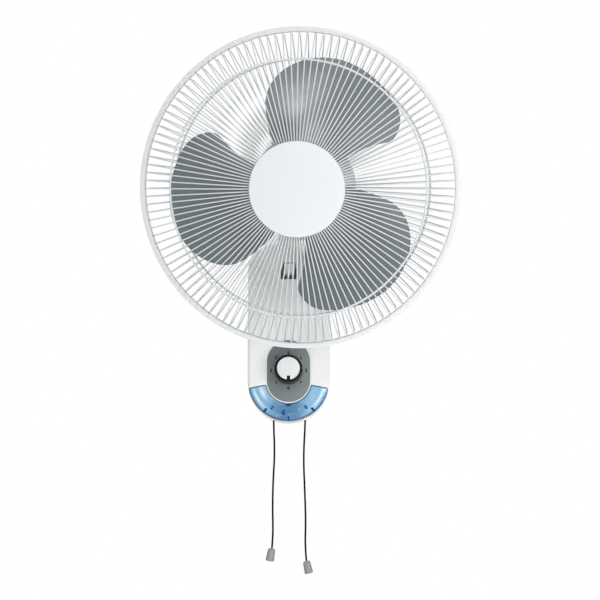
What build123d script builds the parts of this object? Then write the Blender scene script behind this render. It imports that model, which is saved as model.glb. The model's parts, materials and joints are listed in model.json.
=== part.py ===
from build123d import *
import os
from math import atan2, cos, degrees, radians, sin, tan

# A 16 inch wall fan: a column that hangs on a steel bracket, a neck that tilts in the
# column's slot, a motor head that swings on the neck, and a wire guard round three blades.
# +X is to the viewer's right, +Y goes into the wall and +Z is up. The origin is the centre
# of the bracket's screw pattern, on the wall.

# ---------------------------------------------------------------- column
COLUMN_WIDTH = 121.0
COLUMN_HEIGHT = 266.0
COLUMN_DEPTH = 70.0
SHOULDER_RADIUS = 43.0
REAR_DEPTH = 30.0  # where the rear cover meets the front cover
REAR_INSET = 4.0  # the rear cover is this much smaller all round
REAR_RECESS = 3.0  # room behind the back wall for the bracket
WALL = 2.5
EDGE_BEVEL = 3.0
SLOT_WIDTH = 23.0
SLOT_BELOW_BOLT = 13.0
SLOT_BACK = 38.0  # the slot in the top wall reaches back to this depth
BOSS_SIZE = 9.0
BOSS_X = 88.0  # spacing of the cover screws
BOSS_Z = 114.0
BOSS_MIDDLE = 7.0
SCREW_RADIUS = 2.0
SCREW_HEAD_RADIUS = 4.0
SCREW_HEAD_HEIGHT = 2.4
SCREW_LENGTH = 18.0
SEAT_GAP = 0.3  # clearance of a piece that drops into a recess
SLIM_GAP = 0.02  # clearance of a pressed or screwed piece
RUNNING_GAP = 0.05  # clearance of a shaft in its bearing

# ---------------------------------------------------------------- wall bracket
BRACKET_WIDTH = 72.0
BRACKET_HEIGHT = 120.0
BRACKET_SHEET = 2.0
BRACKET_HOLE_RADIUS = 2.6
BRACKET_HOLE_X = 52.0
BRACKET_HOLE_Z = 96.0
HOOK_WIDTH = 16.0
HOOK_RISE = 9.0
HOOK_Z = 30.0

# ---------------------------------------------------------------- dial, lens and knob
PLATE_RADIUS = 31.7
PLATE_LENGTH = 91.2  # end to end
PLATE_SHEET = 2.0
PLATE_RECESS = 1.0
LENS_INNER_RADIUS = 33.5
LENS_DEPTH = 6.0
LENS_START = 190.5
LENS_SWEEP = 159.0
LENS_CORNER = 5.0
LENS_BEVEL = 1.2
KNOB_RISE = 14.5  # the knob's axis above the centre of the round foot
KNOB_RADIUS = 21.0
KNOB_FRONT_RADIUS = 20.3
KNOB_HEIGHT = 29.0
CAP_RADIUS = 16.6
CAP_SHEET = 3.0
POINTER_WIDTH = 4.0
POINTER_LENGTH = 6.0
CAP_RECESS = 2.0
SPINDLE_RADIUS = 3.0
SPINDLE_IN_KNOB = 15.0
SPINDLE_IN_SWITCH = 8.0

# ---------------------------------------------------------------- switches and wiring
SWITCH_DEPTH = 24.0
SELECTOR_WIDTH = 42.0
SELECTOR_HEIGHT = 42.0
SELECTOR_X = -9.0
SWING_SWITCH_WIDTH = 20.0
SWING_SWITCH_HEIGHT = 30.0
SWING_SWITCH_RISE = 10.5  # the switch's top above the centre of the round foot
SLIDER_SIZE = 6.0
SLIDER_LENGTH = 26.0
GUIDE_SIZE = 9.0
GUIDE_HEIGHT = 8.0
GUIDE_CLEAR = 3.0  # between a cord guide and the floor under the lens
SPEED_CORD_X = -22.4
SWING_CORD_X = 25.0
CORD_RADIUS = 1.35
CORD_PLAY = 0.6
GUIDE_SINK = 3.0  # how far the guides' feet lie above the column's lowest point
CAPACITOR_SIZE = (34.0, 20.0, 46.0)
CAPACITOR_AT = (-27.0, 10.0)
TERMINAL_SIZE = (34.0, 16.0, 14.0)
TERMINAL_AT = (27.0, 20.0)
CASE_BEVEL = 3.0
TERMINALS = 4
TERMINAL_SCREW = 4.0
INLET_SIZE = 14.0
INLET_BORE_RADIUS = 3.6
FOOT_CUT = 30.0  # how deep the foot's openings are cut into the round foot
BELL_HEIGHT = 18.6
BELL_RADIUS = 6.3
BELL_TOP_RADIUS = 4.2
BELL_SHOULDER = 2.4
BELL_LIP = 1.6
BELL_SEAT = 0.15  # the leaning bell's clearance to the square end of its cord

# ---------------------------------------------------------------- neck and its tilt
HEAD_TILT = 13.7  # degrees that the head looks down as photographed
HEAD_YAW = 3.8  # degrees that the head looks to the viewer's left
BOLT_DEPTH = 42.0
BOLT_DROP = 41.0  # the tilt bolt below the column's top
BOLT_RADIUS = 4.0
BOLT_HEAD = 5.0
BOLT_SHOWS = 1.0  # the thread that stands out of the nut
YOKE_CHEEK = 4.0
YOKE_HEIGHT = 30.0
YOKE_WIDTH = 44.0
YOKE_NOSE = 10.0
NECK_WIDTH = 13.0
NECK_BARREL_RADIUS = 12.0
PIVOT_AHEAD = 70.0
MOTOR_RISE = 132.0  # motor axis above the tilt bolt, along the neck
SEAT_DROP = 78.0  # the swing seat below the motor axis
COLLAR_RADIUS = 16.0
COLLAR_HEIGHT = 31.0
PIVOT_RADIUS = 6.0
PIVOT_GRIP = 18.0  # length of the pivot pin inside the head bracket
PIVOT_FLANGE = 3.0
PIVOT_FLANGE_RADIUS = 10.0
WEB_BOTTOM = 27.0
WEB_TOP = 50.0
WEB_GRIP = 4.0  # how far the web reaches into the collar

# ---------------------------------------------------------------- motor
MOTOR_OFFSET = 25.8  # the motor axis stands this far right of the swing axis
HOUSING_RADIUS = 72.0
HOUSING_FRONT = 58.0
HOUSING_JOIN = 14.0
HOUSING_REAR = -58.0
HOUSING_WALL = 2.2
HOUSING_BEVEL = 8.0
TAIL_ROUNDING = 26.0
TAIL_FACETS = 4
VENT_COUNT = 8
VENT_WIDTH = 5.0
VENT_INNER = 20.0
VENT_OUTER = 48.0
BRACKET_BLOCK = 24.0  # head bracket's size along the motor axis
BRACKET_LEFT = -14.0
BRACKET_RIGHT = 36.0
SADDLE_WIDTH = 56.0
SADDLE_RISE = 12.0
STATOR_SIDE = 84.0
STATOR_CORNER = 8.0
STATOR_REAR = -10.0
STATOR_FRONT = 20.0
ROTOR_RADIUS = 27.0
AIR_GAP = 0.4
SHIELD_SHEET = 4.0
SHIELD_LEG = 10.0
SHIELD_STAND = 16.0
SHIELD_SIDE = 76.0
BEARING_RADIUS = 9.0
BEARING_LENGTH = 14.0
BOSS_WALL = 3.0
NOSE_RADIUS = 22.6
NOSE_SHOWS = 1.0  # the nose's thread that stands out of the ring nut
NOSE_SHOULDER_RADIUS = 27.0
SHAFT_RADIUS = 4.0
COIL_HEIGHT = 10.0
COIL_WIDTH = 34.0
COIL_THICKNESS = 9.0
COIL_RADIUS = 35.0

# ---------------------------------------------------------------- guard and blades
GUARD_AHEAD = 140.0  # plane where the two guard halves meet, ahead of the swing axis
GUARD_RADIUS = 221.0
WIRE = 1.9
SPOKES = 120
RING_WIDTH = 5.5
HOOP_WALL = 1.6
HOOP_DEPTH = 12.0
MID_RING_WIDTH = 3.0
MID_RING_DEPTH = 2.4
FRONT_SPOKE_START = 58.0
FRONT_MID_RADIUS = 176.7
FRONT_MID_AHEAD = 36.0  # ahead of the guard plane
FRONT_RIM_AHEAD = 14.0
BADGE_RADIUS = 65.0
BADGE_AHEAD = 59.0
BADGE_SHEET = 2.5
BADGE_CROWN = 2.0
BADGE_STEP = 1.5  # rise of the crown at half the badge's radius
SPIGOT_RADIUS = 48.0
SPIGOT_LENGTH = 4.0
HUB_RING_RADIUS = 61.0
HUB_RING_WIDTH = 9.0
HUB_RING_SHEET = 1.5
HUB_RING_SINK = 0.7  # the ring stands this far behind the wires' inner ends
REAR_SPOKE_START = 66.0
REAR_MID_RADIUS = 179.0
REAR_MID_BEHIND = 48.0
REAR_RIM_BEHIND = 14.0
REAR_PLATE_RADIUS = 75.0
REAR_PLATE_SHEET = 1.2
NUT_RADIUS = 33.0
NUT_HEIGHT = 9.0
NUT_LOBES = 10
BLADES = 3
BLADE_SHEET = 2.0
BLADE_MIDDLE = 118.0
BLADE_MIDDLE_ANGLE = 74.0
BLADE_PITCH = 0.6  # millimetres ahead for each degree round
BLADE_FIRST_ANGLE = 22.0
BLADE_LAST_ANGLE = 130.0
BLADE_SECTIONS = 5
HUB_RADIUS = 36.0
HUB_REAR = 92.0
HUB_FRONT = 146.0
HUB_WALL = 3.0
HUB_BEVEL = 4.0
HUB_BOSS_RADIUS = 10.0
HUB_BOSS_LENGTH = 38.0
DRIVE_PIN_RADIUS = 1.5
DRIVE_PIN_LENGTH = 18.0
SPINNER_RADIUS = 16.0
SPINNER_HEIGHT = 10.0
SPINNER_WALL = 2.0
BLADE_ROOT = 30.0
BLADE_SLAB = 200.0
SHAFT_REAR = -46.0

# the blade's outline seen from the front: radius and angle, from the leading edge's root
BLADE_EDGE = [
    (33.0, 45.0),
    (74.0, 34.0),
    (121.0, 30.0),
    (145.0, 28.0),
    (158.0, 31.0),
    (169.0, 35.5),
    (178.0, 46.0),
    (184.5, 61.0),
    (184.5, 76.0),
    (178.5, 86.0),
    (159.0, 101.0),
    (139.0, 109.0),
    (101.0, 116.0),
    (66.0, 122.0),
    (33.0, 118.0),
]

# Both pull cords hang from their sliders; the routes were read off the photograph.
SPEED_ROUTE = [
    (-22.4, -54.0, -83.0),
    (-22.4, -54.0, -130.0),
    (-20.2, -54.4, -178.0),
    (-23.0, -54.2, -225.0),
    (-23.3, -53.8, -265.0),
    (-22.4, -54.0, -296.0),
    (-24.2, -54.2, -317.6),
]
SWING_ROUTE = [
    (25.0, -54.0, -96.0),
    (25.0, -54.0, -131.0),
    (21.8, -54.5, -183.0),
    (24.0, -54.2, -235.0),
    (25.4, -53.7, -280.0),
    (24.2, -54.0, -311.0),
    (26.2, -54.3, -335.6),
]
SPEED_BELL_LEAN = -10.0
SWING_BELL_LEAN = 12.0

os.makedirs("parts", exist_ok=True)

FOOT_Z = (COLUMN_WIDTH - COLUMN_HEIGHT) / 2  # centre of the column's round foot
PLATE_Z = FOOT_Z + PLATE_LENGTH / 2 - PLATE_RADIUS
KNOB_Z = FOOT_Z + KNOB_RISE
SWING_SWITCH_TOP = FOOT_Z + SWING_SWITCH_RISE
BOLT_HEIGHT = COLUMN_HEIGHT / 2 - BOLT_DROP
SLOT_BOTTOM = BOLT_HEIGHT - SLOT_BELOW_BOLT
GUIDE_BOTTOM = GUIDE_SINK - COLUMN_HEIGHT / 2
LENS_FLOOR = COLUMN_DEPTH - LENS_DEPTH - WALL  # inner face of the floor under the lens
CORD_DEPTH = LENS_FLOOR - GUIDE_CLEAR - GUIDE_SIZE / 2  # how far the cords hang from the wall
SELECTOR_FRONT = COLUMN_DEPTH - WALL
SELECTOR_BOTTOM = KNOB_Z - SELECTOR_HEIGHT / 2
SWING_SWITCH_BOTTOM = SWING_SWITCH_TOP - SWING_SWITCH_HEIGHT
SLIDER_SHOWS = 4.0  # how far a slider stands out of its switch at rest
COLLAR_TOP = MOTOR_RISE - SEAT_DROP
PIN_AHEAD = HUB_FRONT - HUB_BOSS_LENGTH + DRIVE_PIN_RADIUS + SLIM_GAP

# The neck's own frame stands on the tilt bolt: x to the right, y back and z up along the neck.
neck_frame = Plane(
    origin=(0, -BOLT_DEPTH, BOLT_HEIGHT),
    x_dir=(1, 0, 0),
    z_dir=(0, -sin(radians(HEAD_TILT)), cos(radians(HEAD_TILT))),
)
neck_side = Plane(neck_frame.origin, x_dir=-neck_frame.y_dir, z_dir=-neck_frame.x_dir)

# The head's frame stands on the swing axis at the height of the motor shaft.
head_right = neck_frame.x_dir * cos(radians(HEAD_YAW)) - neck_frame.y_dir * sin(radians(HEAD_YAW))
head_frame = Plane(
    neck_frame.from_local_coords((0, -PIVOT_AHEAD, MOTOR_RISE)),
    x_dir=head_right,
    z_dir=neck_frame.z_dir,
)
head_side = Plane(head_frame.origin, x_dir=head_frame.x_dir, z_dir=-head_frame.y_dir)


def save(builder, name):
    """Label a finished piece and write it to its own file."""
    builder.part.label = name
    export_step(builder.part, f"parts/{name}.step")
    print(name, len(builder.part.solids()), round(builder.part.volume, 1))


def wall_plane(depth):
    """A plane parallel to the wall, this far in front of it, seen as the viewer sees it."""
    return Plane(origin=(0, -depth, 0), x_dir=(1, 0, 0), z_dir=(0, -1, 0))


def axis_plane(ahead):
    """A plane square to the motor shaft, this far ahead of the swing axis."""
    origin = head_frame.from_local_coords((MOTOR_OFFSET, -ahead, 0))
    return Plane(origin, x_dir=head_frame.x_dir, z_dir=-head_frame.y_dir)


def column_outline(inset):
    """The column's outline: rounded shoulders above, a half round foot below."""
    half = COLUMN_WIDTH / 2 - inset
    top = COLUMN_HEIGHT / 2 - inset
    shoulder = SHOULDER_RADIUS - inset
    with BuildLine(mode=Mode.PRIVATE) as outline:
        Line((-half, FOOT_Z), (-half, top - shoulder))
        CenterArc((shoulder - half, top - shoulder), shoulder, 180, -90)
        Line((shoulder - half, top), (half - shoulder, top))
        CenterArc((half - shoulder, top - shoulder), shoulder, 90, -90)
        Line((half, top - shoulder), (half, FOOT_Z))
        CenterArc((0, FOOT_Z), half, 0, -180)
    return outline.edges()


def lens_outline(inner, outer, margin):
    """A ring sector about the foot's centre, grown round its ends by a margin."""
    start = LENS_START - degrees(margin / outer)
    sweep = LENS_SWEEP + 2 * degrees(margin / outer)
    with BuildLine(mode=Mode.PRIVATE) as outline:
        outside = CenterArc((0, FOOT_Z), outer, start, sweep)
        inside = CenterArc((0, FOOT_Z), inner, start, sweep)
        Line(outside @ 0, inside @ 0)
        Line(outside @ 1, inside @ 1)
    return outline.edges()


# ================================================================ fixed to the wall
with BuildPart() as wall_bracket:
    with BuildSketch(wall_plane(0)):
        Rectangle(BRACKET_WIDTH, BRACKET_HEIGHT)
        with GridLocations(BRACKET_HOLE_X, BRACKET_HOLE_Z, 2, 2):
            Circle(BRACKET_HOLE_RADIUS, mode=Mode.SUBTRACT)
    extrude(amount=BRACKET_SHEET)
    HOOK_REACH = REAR_RECESS + WALL + SEAT_GAP
    for hook_z in (-HOOK_Z, HOOK_Z):
        with BuildSketch(wall_plane(BRACKET_SHEET)):
            with Locations((0, hook_z + BRACKET_SHEET / 2)):
                Rectangle(HOOK_WIDTH, BRACKET_SHEET)
        extrude(amount=HOOK_REACH)
        with BuildSketch(wall_plane(HOOK_REACH)):
            with Locations((0, hook_z + HOOK_RISE / 2)):
                Rectangle(HOOK_WIDTH, HOOK_RISE)
        extrude(amount=BRACKET_SHEET)
save(wall_bracket, "wall_bracket")

with BuildPart() as rear_cover:
    with BuildSketch(wall_plane(0)):
        make_face(column_outline(REAR_INSET))
    extrude(amount=REAR_DEPTH)
    with BuildSketch(wall_plane(0)):
        make_face(column_outline(REAR_INSET + WALL))
    extrude(amount=REAR_RECESS, mode=Mode.SUBTRACT)
    with BuildSketch(wall_plane(REAR_RECESS + WALL)):
        make_face(column_outline(REAR_INSET + WALL))
    extrude(amount=REAR_DEPTH, mode=Mode.SUBTRACT)
    for hook_z in (-HOOK_Z, HOOK_Z):
        with BuildSketch(wall_plane(0)):
            with Locations((0, hook_z + BRACKET_SHEET + SEAT_GAP)):
                Rectangle(
                    HOOK_WIDTH + 2 * SEAT_GAP,
                    HOOK_RISE + BRACKET_SHEET + 2 * SEAT_GAP,
                    align=(Align.CENTER, Align.MAX),
                )
        extrude(amount=REAR_DEPTH, mode=Mode.SUBTRACT)
    with BuildSketch(Plane.XY.offset(-COLUMN_HEIGHT / 2)):
        with Locations((0, -(REAR_RECESS + WALL + REAR_DEPTH) / 2)):
            Rectangle(INLET_SIZE + 2 * SEAT_GAP, INLET_SIZE + 2 * SEAT_GAP)
    extrude(amount=FOOT_CUT, mode=Mode.SUBTRACT)
    with BuildSketch(wall_plane(0)):
        with Locations((0, BOSS_MIDDLE)):
            with GridLocations(BOSS_X, BOSS_Z, 2, 2):
                Circle(SCREW_RADIUS + SEAT_GAP)
    extrude(amount=REAR_DEPTH, mode=Mode.SUBTRACT)
save(rear_cover, "rear_cover")

with BuildPart() as cable_inlet:
    with BuildSketch(Plane.XY.offset(-COLUMN_HEIGHT / 2 + REAR_INSET + SEAT_GAP)):
        with Locations((0, -(REAR_RECESS + WALL + REAR_DEPTH) / 2)):
            Rectangle(INLET_SIZE, INLET_SIZE)
            Circle(INLET_BORE_RADIUS, mode=Mode.SUBTRACT)
    extrude(amount=GUIDE_HEIGHT)
save(cable_inlet, "cable_inlet")

with BuildPart() as front_cover:
    with BuildSketch(wall_plane(REAR_DEPTH)):
        make_face(column_outline(0))
    extrude(amount=COLUMN_DEPTH - REAR_DEPTH)
    front_edges = front_cover.faces().sort_by(Axis.Y)[0].edges()
    chamfer(front_edges, EDGE_BEVEL)
    with BuildSketch(wall_plane(REAR_DEPTH)):
        make_face(column_outline(WALL))
    extrude(amount=COLUMN_DEPTH - REAR_DEPTH - WALL, mode=Mode.SUBTRACT)
    # posts that take the cover screws
    with BuildSketch(wall_plane(REAR_RECESS + WALL + SEAT_GAP)):
        with Locations((0, BOSS_MIDDLE)):
            with GridLocations(BOSS_X, BOSS_Z, 2, 2):
                Rectangle(BOSS_SIZE, BOSS_SIZE)
                Circle(SCREW_RADIUS + SLIM_GAP, mode=Mode.SUBTRACT)
    extrude(amount=COLUMN_DEPTH - REAR_RECESS - 2 * WALL)
    # the floor of the lens pocket, stepped back behind the front wall
    with BuildSketch(wall_plane(COLUMN_DEPTH - LENS_DEPTH - WALL)):
        make_face(lens_outline(LENS_INNER_RADIUS - WALL, COLUMN_WIDTH / 2 - SEAT_GAP, WALL))
    extrude(amount=LENS_DEPTH + WALL)
    with BuildSketch(wall_plane(COLUMN_DEPTH - LENS_DEPTH)):
        make_face(lens_outline(LENS_INNER_RADIUS, COLUMN_WIDTH, 0))
    extrude(amount=COLUMN_DEPTH, mode=Mode.SUBTRACT)
    with BuildSketch(wall_plane(COLUMN_DEPTH - PLATE_RECESS)):
        with Locations((0, PLATE_Z)):
            SlotOverall(PLATE_LENGTH + 2 * SEAT_GAP, 2 * (PLATE_RADIUS + SEAT_GAP), rotation=90)
    extrude(amount=COLUMN_DEPTH, mode=Mode.SUBTRACT)
    with BuildSketch(wall_plane(REAR_DEPTH)):
        with Locations((0, KNOB_Z)):
            Circle(SPINDLE_RADIUS + SEAT_GAP)
    extrude(amount=COLUMN_DEPTH, mode=Mode.SUBTRACT)
    with BuildSketch(wall_plane(SLOT_BACK)):
        with Locations((0, (SLOT_BOTTOM + COLUMN_HEIGHT) / 2)):
            Rectangle(SLOT_WIDTH, COLUMN_HEIGHT - SLOT_BOTTOM)
    extrude(amount=COLUMN_DEPTH, mode=Mode.SUBTRACT)
    with BuildSketch(Plane.XY.offset(-COLUMN_HEIGHT / 2)):
        with Locations((SPEED_CORD_X, -CORD_DEPTH), (SWING_CORD_X, -CORD_DEPTH)):
            Rectangle(GUIDE_SIZE + SEAT_GAP, GUIDE_SIZE + SEAT_GAP)
    extrude(amount=FOOT_CUT, mode=Mode.SUBTRACT)
save(front_cover, "front_cover")

with BuildPart() as dial_plate:
    with BuildSketch(wall_plane(COLUMN_DEPTH - PLATE_RECESS)):
        with Locations((0, PLATE_Z)):
            SlotOverall(PLATE_LENGTH, 2 * PLATE_RADIUS, rotation=90)
        with Locations((0, KNOB_Z)):
            Circle(SPINDLE_RADIUS + SEAT_GAP, mode=Mode.SUBTRACT)
    extrude(amount=PLATE_SHEET)
save(dial_plate, "dial_plate")

with BuildPart() as lens:
    with BuildSketch(wall_plane(COLUMN_DEPTH - LENS_DEPTH)):
        make_face(lens_outline(LENS_INNER_RADIUS + SEAT_GAP, COLUMN_WIDTH / 2, -SEAT_GAP))
    extrude(amount=LENS_DEPTH)
    corners = lens.edges().filter_by(Axis.Y)
    fillet(corners.sort_by(lambda edge: abs(edge.center().X))[-2:], LENS_CORNER)
    chamfer(lens.faces().sort_by(Axis.Y)[0].edges(), LENS_BEVEL)
save(lens, "lens")

with BuildPart() as cord_guides:
    with BuildSketch(Plane.XY.offset(GUIDE_BOTTOM)):
        with Locations((SPEED_CORD_X, -CORD_DEPTH), (SWING_CORD_X, -CORD_DEPTH)):
            Rectangle(GUIDE_SIZE, GUIDE_SIZE)
            Circle(CORD_RADIUS + CORD_PLAY, mode=Mode.SUBTRACT)
    extrude(amount=GUIDE_HEIGHT)
save(cord_guides, "cord_guides")

with BuildPart() as cover_screws:
    with BuildSketch(wall_plane(REAR_RECESS)):
        with Locations((0, BOSS_MIDDLE)):
            with GridLocations(BOSS_X, BOSS_Z, 2, 2):
                Circle(SCREW_RADIUS)
    extrude(amount=SCREW_LENGTH)
    with BuildSketch(wall_plane(REAR_RECESS)):
        with Locations((0, BOSS_MIDDLE)):
            with GridLocations(BOSS_X, BOSS_Z, 2, 2):
                RegularPolygon(SCREW_HEAD_RADIUS, 6)
    extrude(amount=-SCREW_HEAD_HEIGHT)
save(cover_screws, "cover_screws")

with BuildPart() as selector_switch:
    with BuildSketch(wall_plane(SELECTOR_FRONT - SWITCH_DEPTH)):
        with Locations((SELECTOR_X, KNOB_Z)):
            Rectangle(SELECTOR_WIDTH, SELECTOR_HEIGHT)
    extrude(amount=SWITCH_DEPTH)
    with BuildSketch(wall_plane(SELECTOR_FRONT - SPINDLE_IN_SWITCH)):
        with Locations((0, KNOB_Z)):
            Circle(SPINDLE_RADIUS + RUNNING_GAP)
    extrude(amount=SPINDLE_IN_SWITCH, mode=Mode.SUBTRACT)
    with BuildSketch(Plane.XY.offset(SELECTOR_BOTTOM)):
        with Locations((SPEED_CORD_X, -CORD_DEPTH)):
            Rectangle(SLIDER_SIZE + 2 * SEAT_GAP, SLIDER_SIZE + 2 * SEAT_GAP)
    extrude(amount=SLIDER_LENGTH, mode=Mode.SUBTRACT)
save(selector_switch, "selector_switch")

with BuildPart() as swing_switch:
    with BuildSketch(wall_plane(LENS_FLOOR - SWITCH_DEPTH)):
        with Locations((SWING_CORD_X, SWING_SWITCH_TOP)):
            Rectangle(SWING_SWITCH_WIDTH, SWING_SWITCH_HEIGHT, align=(Align.CENTER, Align.MAX))
    extrude(amount=SWITCH_DEPTH)
    with BuildSketch(Plane.XY.offset(SWING_SWITCH_BOTTOM)):
        with Locations((SWING_CORD_X, -CORD_DEPTH)):
            Rectangle(SLIDER_SIZE + 2 * SEAT_GAP, SLIDER_SIZE + 2 * SEAT_GAP)
    extrude(amount=SLIDER_LENGTH, mode=Mode.SUBTRACT)
save(swing_switch, "swing_switch")

with BuildPart() as run_capacitor:
    with BuildSketch(wall_plane(REAR_RECESS + WALL)):
        with Locations(CAPACITOR_AT):
            Rectangle(CAPACITOR_SIZE[0], CAPACITOR_SIZE[2])
    extrude(amount=CAPACITOR_SIZE[1])
    chamfer(run_capacitor.edges().filter_by(Axis.Z), CASE_BEVEL)
save(run_capacitor, "run_capacitor")

with BuildPart() as terminal_block:
    with BuildSketch(wall_plane(REAR_RECESS + WALL)):
        with Locations(TERMINAL_AT):
            Rectangle(TERMINAL_SIZE[0], TERMINAL_SIZE[2])
    extrude(amount=TERMINAL_SIZE[1])
    with BuildSketch(wall_plane(REAR_RECESS + WALL + TERMINAL_SIZE[1])):
        with Locations(TERMINAL_AT):
            with GridLocations(TERMINAL_SIZE[0] / TERMINALS, 1, TERMINALS, 1):
                Rectangle(TERMINAL_SCREW, TERMINAL_SCREW)
    extrude(amount=-TERMINAL_SCREW, mode=Mode.SUBTRACT)
save(terminal_block, "terminal_block")

# ================================================================ tilting joint
with BuildPart() as tilt_yoke:
    with BuildSketch(wall_plane(REAR_RECESS + WALL)):
        with Locations((0, BOLT_HEIGHT)):
            Rectangle(YOKE_WIDTH, YOKE_HEIGHT)
    extrude(amount=YOKE_CHEEK)
    CHEEK_INNER = NECK_WIDTH / 2 + SEAT_GAP
    CHEEK_MIDDLE = CHEEK_INNER + YOKE_CHEEK / 2
    with BuildSketch(wall_plane(REAR_RECESS + WALL)):
        with Locations((-CHEEK_MIDDLE, BOLT_HEIGHT), (CHEEK_MIDDLE, BOLT_HEIGHT)):
            Rectangle(YOKE_CHEEK, YOKE_HEIGHT)
    extrude(amount=BOLT_DEPTH + YOKE_NOSE - REAR_RECESS - WALL)
    with BuildSketch(neck_side):
        Circle(BOLT_RADIUS + SLIM_GAP)
    extrude(amount=YOKE_WIDTH, both=True, mode=Mode.SUBTRACT)
save(tilt_yoke, "tilt_yoke")

CHEEK_OUTER = CHEEK_INNER + YOKE_CHEEK
with BuildPart() as tilt_bolt:
    with BuildSketch(Plane.YZ.offset(-CHEEK_OUTER)):
        with Locations((-BOLT_DEPTH, BOLT_HEIGHT)):
            Circle(BOLT_RADIUS)
    extrude(amount=2 * CHEEK_OUTER + BOLT_HEAD + BOLT_SHOWS)
    with BuildSketch(Plane.YZ.offset(-CHEEK_OUTER)):
        with Locations((-BOLT_DEPTH, BOLT_HEIGHT)):
            RegularPolygon(2 * BOLT_RADIUS, 6)
    extrude(amount=-BOLT_HEAD)
save(tilt_bolt, "tilt_bolt")

with BuildPart() as tilt_nut:
    with BuildSketch(Plane.YZ.offset(CHEEK_OUTER)):
        with Locations((-BOLT_DEPTH, BOLT_HEIGHT)):
            RegularPolygon(2 * BOLT_RADIUS, 6)
            Circle(BOLT_RADIUS + SLIM_GAP, mode=Mode.SUBTRACT)
    extrude(amount=BOLT_HEAD)
save(tilt_nut, "tilt_nut")

with BuildPart() as neck:
    with BuildSketch(neck_side):
        Circle(NECK_BARREL_RADIUS)
        with Locations((PIVOT_AHEAD - COLLAR_RADIUS, (WEB_BOTTOM + WEB_TOP) / 2)):
            Rectangle(WEB_GRIP, WEB_TOP - WEB_BOTTOM, align=(Align.MIN, Align.CENTER))
        make_hull()
    extrude(amount=NECK_WIDTH / 2, both=True)
    with BuildSketch(neck_frame.offset(COLLAR_TOP - COLLAR_HEIGHT)):
        with Locations((0, -PIVOT_AHEAD)):
            Circle(COLLAR_RADIUS)
    extrude(amount=COLLAR_HEIGHT)
    with BuildSketch(neck_frame.offset(COLLAR_TOP - COLLAR_HEIGHT)):
        with Locations((0, -PIVOT_AHEAD)):
            Circle(PIVOT_RADIUS + RUNNING_GAP)
    extrude(amount=COLLAR_HEIGHT, mode=Mode.SUBTRACT)
    with BuildSketch(neck_side):
        Circle(BOLT_RADIUS + RUNNING_GAP)
    extrude(amount=NECK_WIDTH, both=True, mode=Mode.SUBTRACT)
save(neck, "neck")

# ================================================================ swinging head
PIN_BOTTOM = -SEAT_DROP - COLLAR_HEIGHT - SEAT_GAP
BRACKET_BOTTOM = -SEAT_DROP + SEAT_GAP
with BuildPart() as pivot_pin:
    with BuildSketch(head_frame.offset(PIN_BOTTOM)):
        Circle(PIVOT_RADIUS)
    extrude(amount=BRACKET_BOTTOM + PIVOT_GRIP - PIN_BOTTOM)
    with BuildSketch(head_frame.offset(PIN_BOTTOM)):
        RegularPolygon(PIVOT_FLANGE_RADIUS, 6)
    extrude(amount=-PIVOT_FLANGE)
save(pivot_pin, "pivot_pin")

SADDLE_TOP = -STATOR_SIDE / 2
with BuildPart() as head_bracket:
    with BuildSketch(head_side):
        with BuildLine():
            Polyline(
                (BRACKET_LEFT, BRACKET_BOTTOM),
                (BRACKET_RIGHT, BRACKET_BOTTOM),
                (BRACKET_RIGHT, SADDLE_TOP - SADDLE_RISE),
                (MOTOR_OFFSET + SADDLE_WIDTH / 2, SADDLE_TOP),
                (MOTOR_OFFSET - SADDLE_WIDTH / 2, SADDLE_TOP),
                (BRACKET_LEFT, SADDLE_TOP - SADDLE_RISE),
                close=True,
            )
        make_face()
    extrude(amount=BRACKET_BLOCK / 2, both=True)
    with BuildSketch(head_frame.offset(BRACKET_BOTTOM)):
        Circle(PIVOT_RADIUS + SLIM_GAP)
    extrude(amount=PIVOT_GRIP, mode=Mode.SUBTRACT)
save(head_bracket, "head_bracket")

with BuildPart() as stator_core:
    with BuildSketch(axis_plane(STATOR_REAR)):
        Rectangle(STATOR_SIDE, STATOR_SIDE)
        chamfer(vertices(), STATOR_CORNER)
        Circle(ROTOR_RADIUS + AIR_GAP, mode=Mode.SUBTRACT)
    extrude(amount=STATOR_FRONT - STATOR_REAR)
save(stator_core, "stator_core")

with BuildPart() as stator_windings:
    for start in (STATOR_FRONT, STATOR_REAR - COIL_HEIGHT):
        with BuildSketch(axis_plane(start)):
            with PolarLocations(COIL_RADIUS, 4):
                Rectangle(COIL_THICKNESS, COIL_WIDTH)
        extrude(amount=COIL_HEIGHT)
save(stator_windings, "stator_windings")

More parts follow.
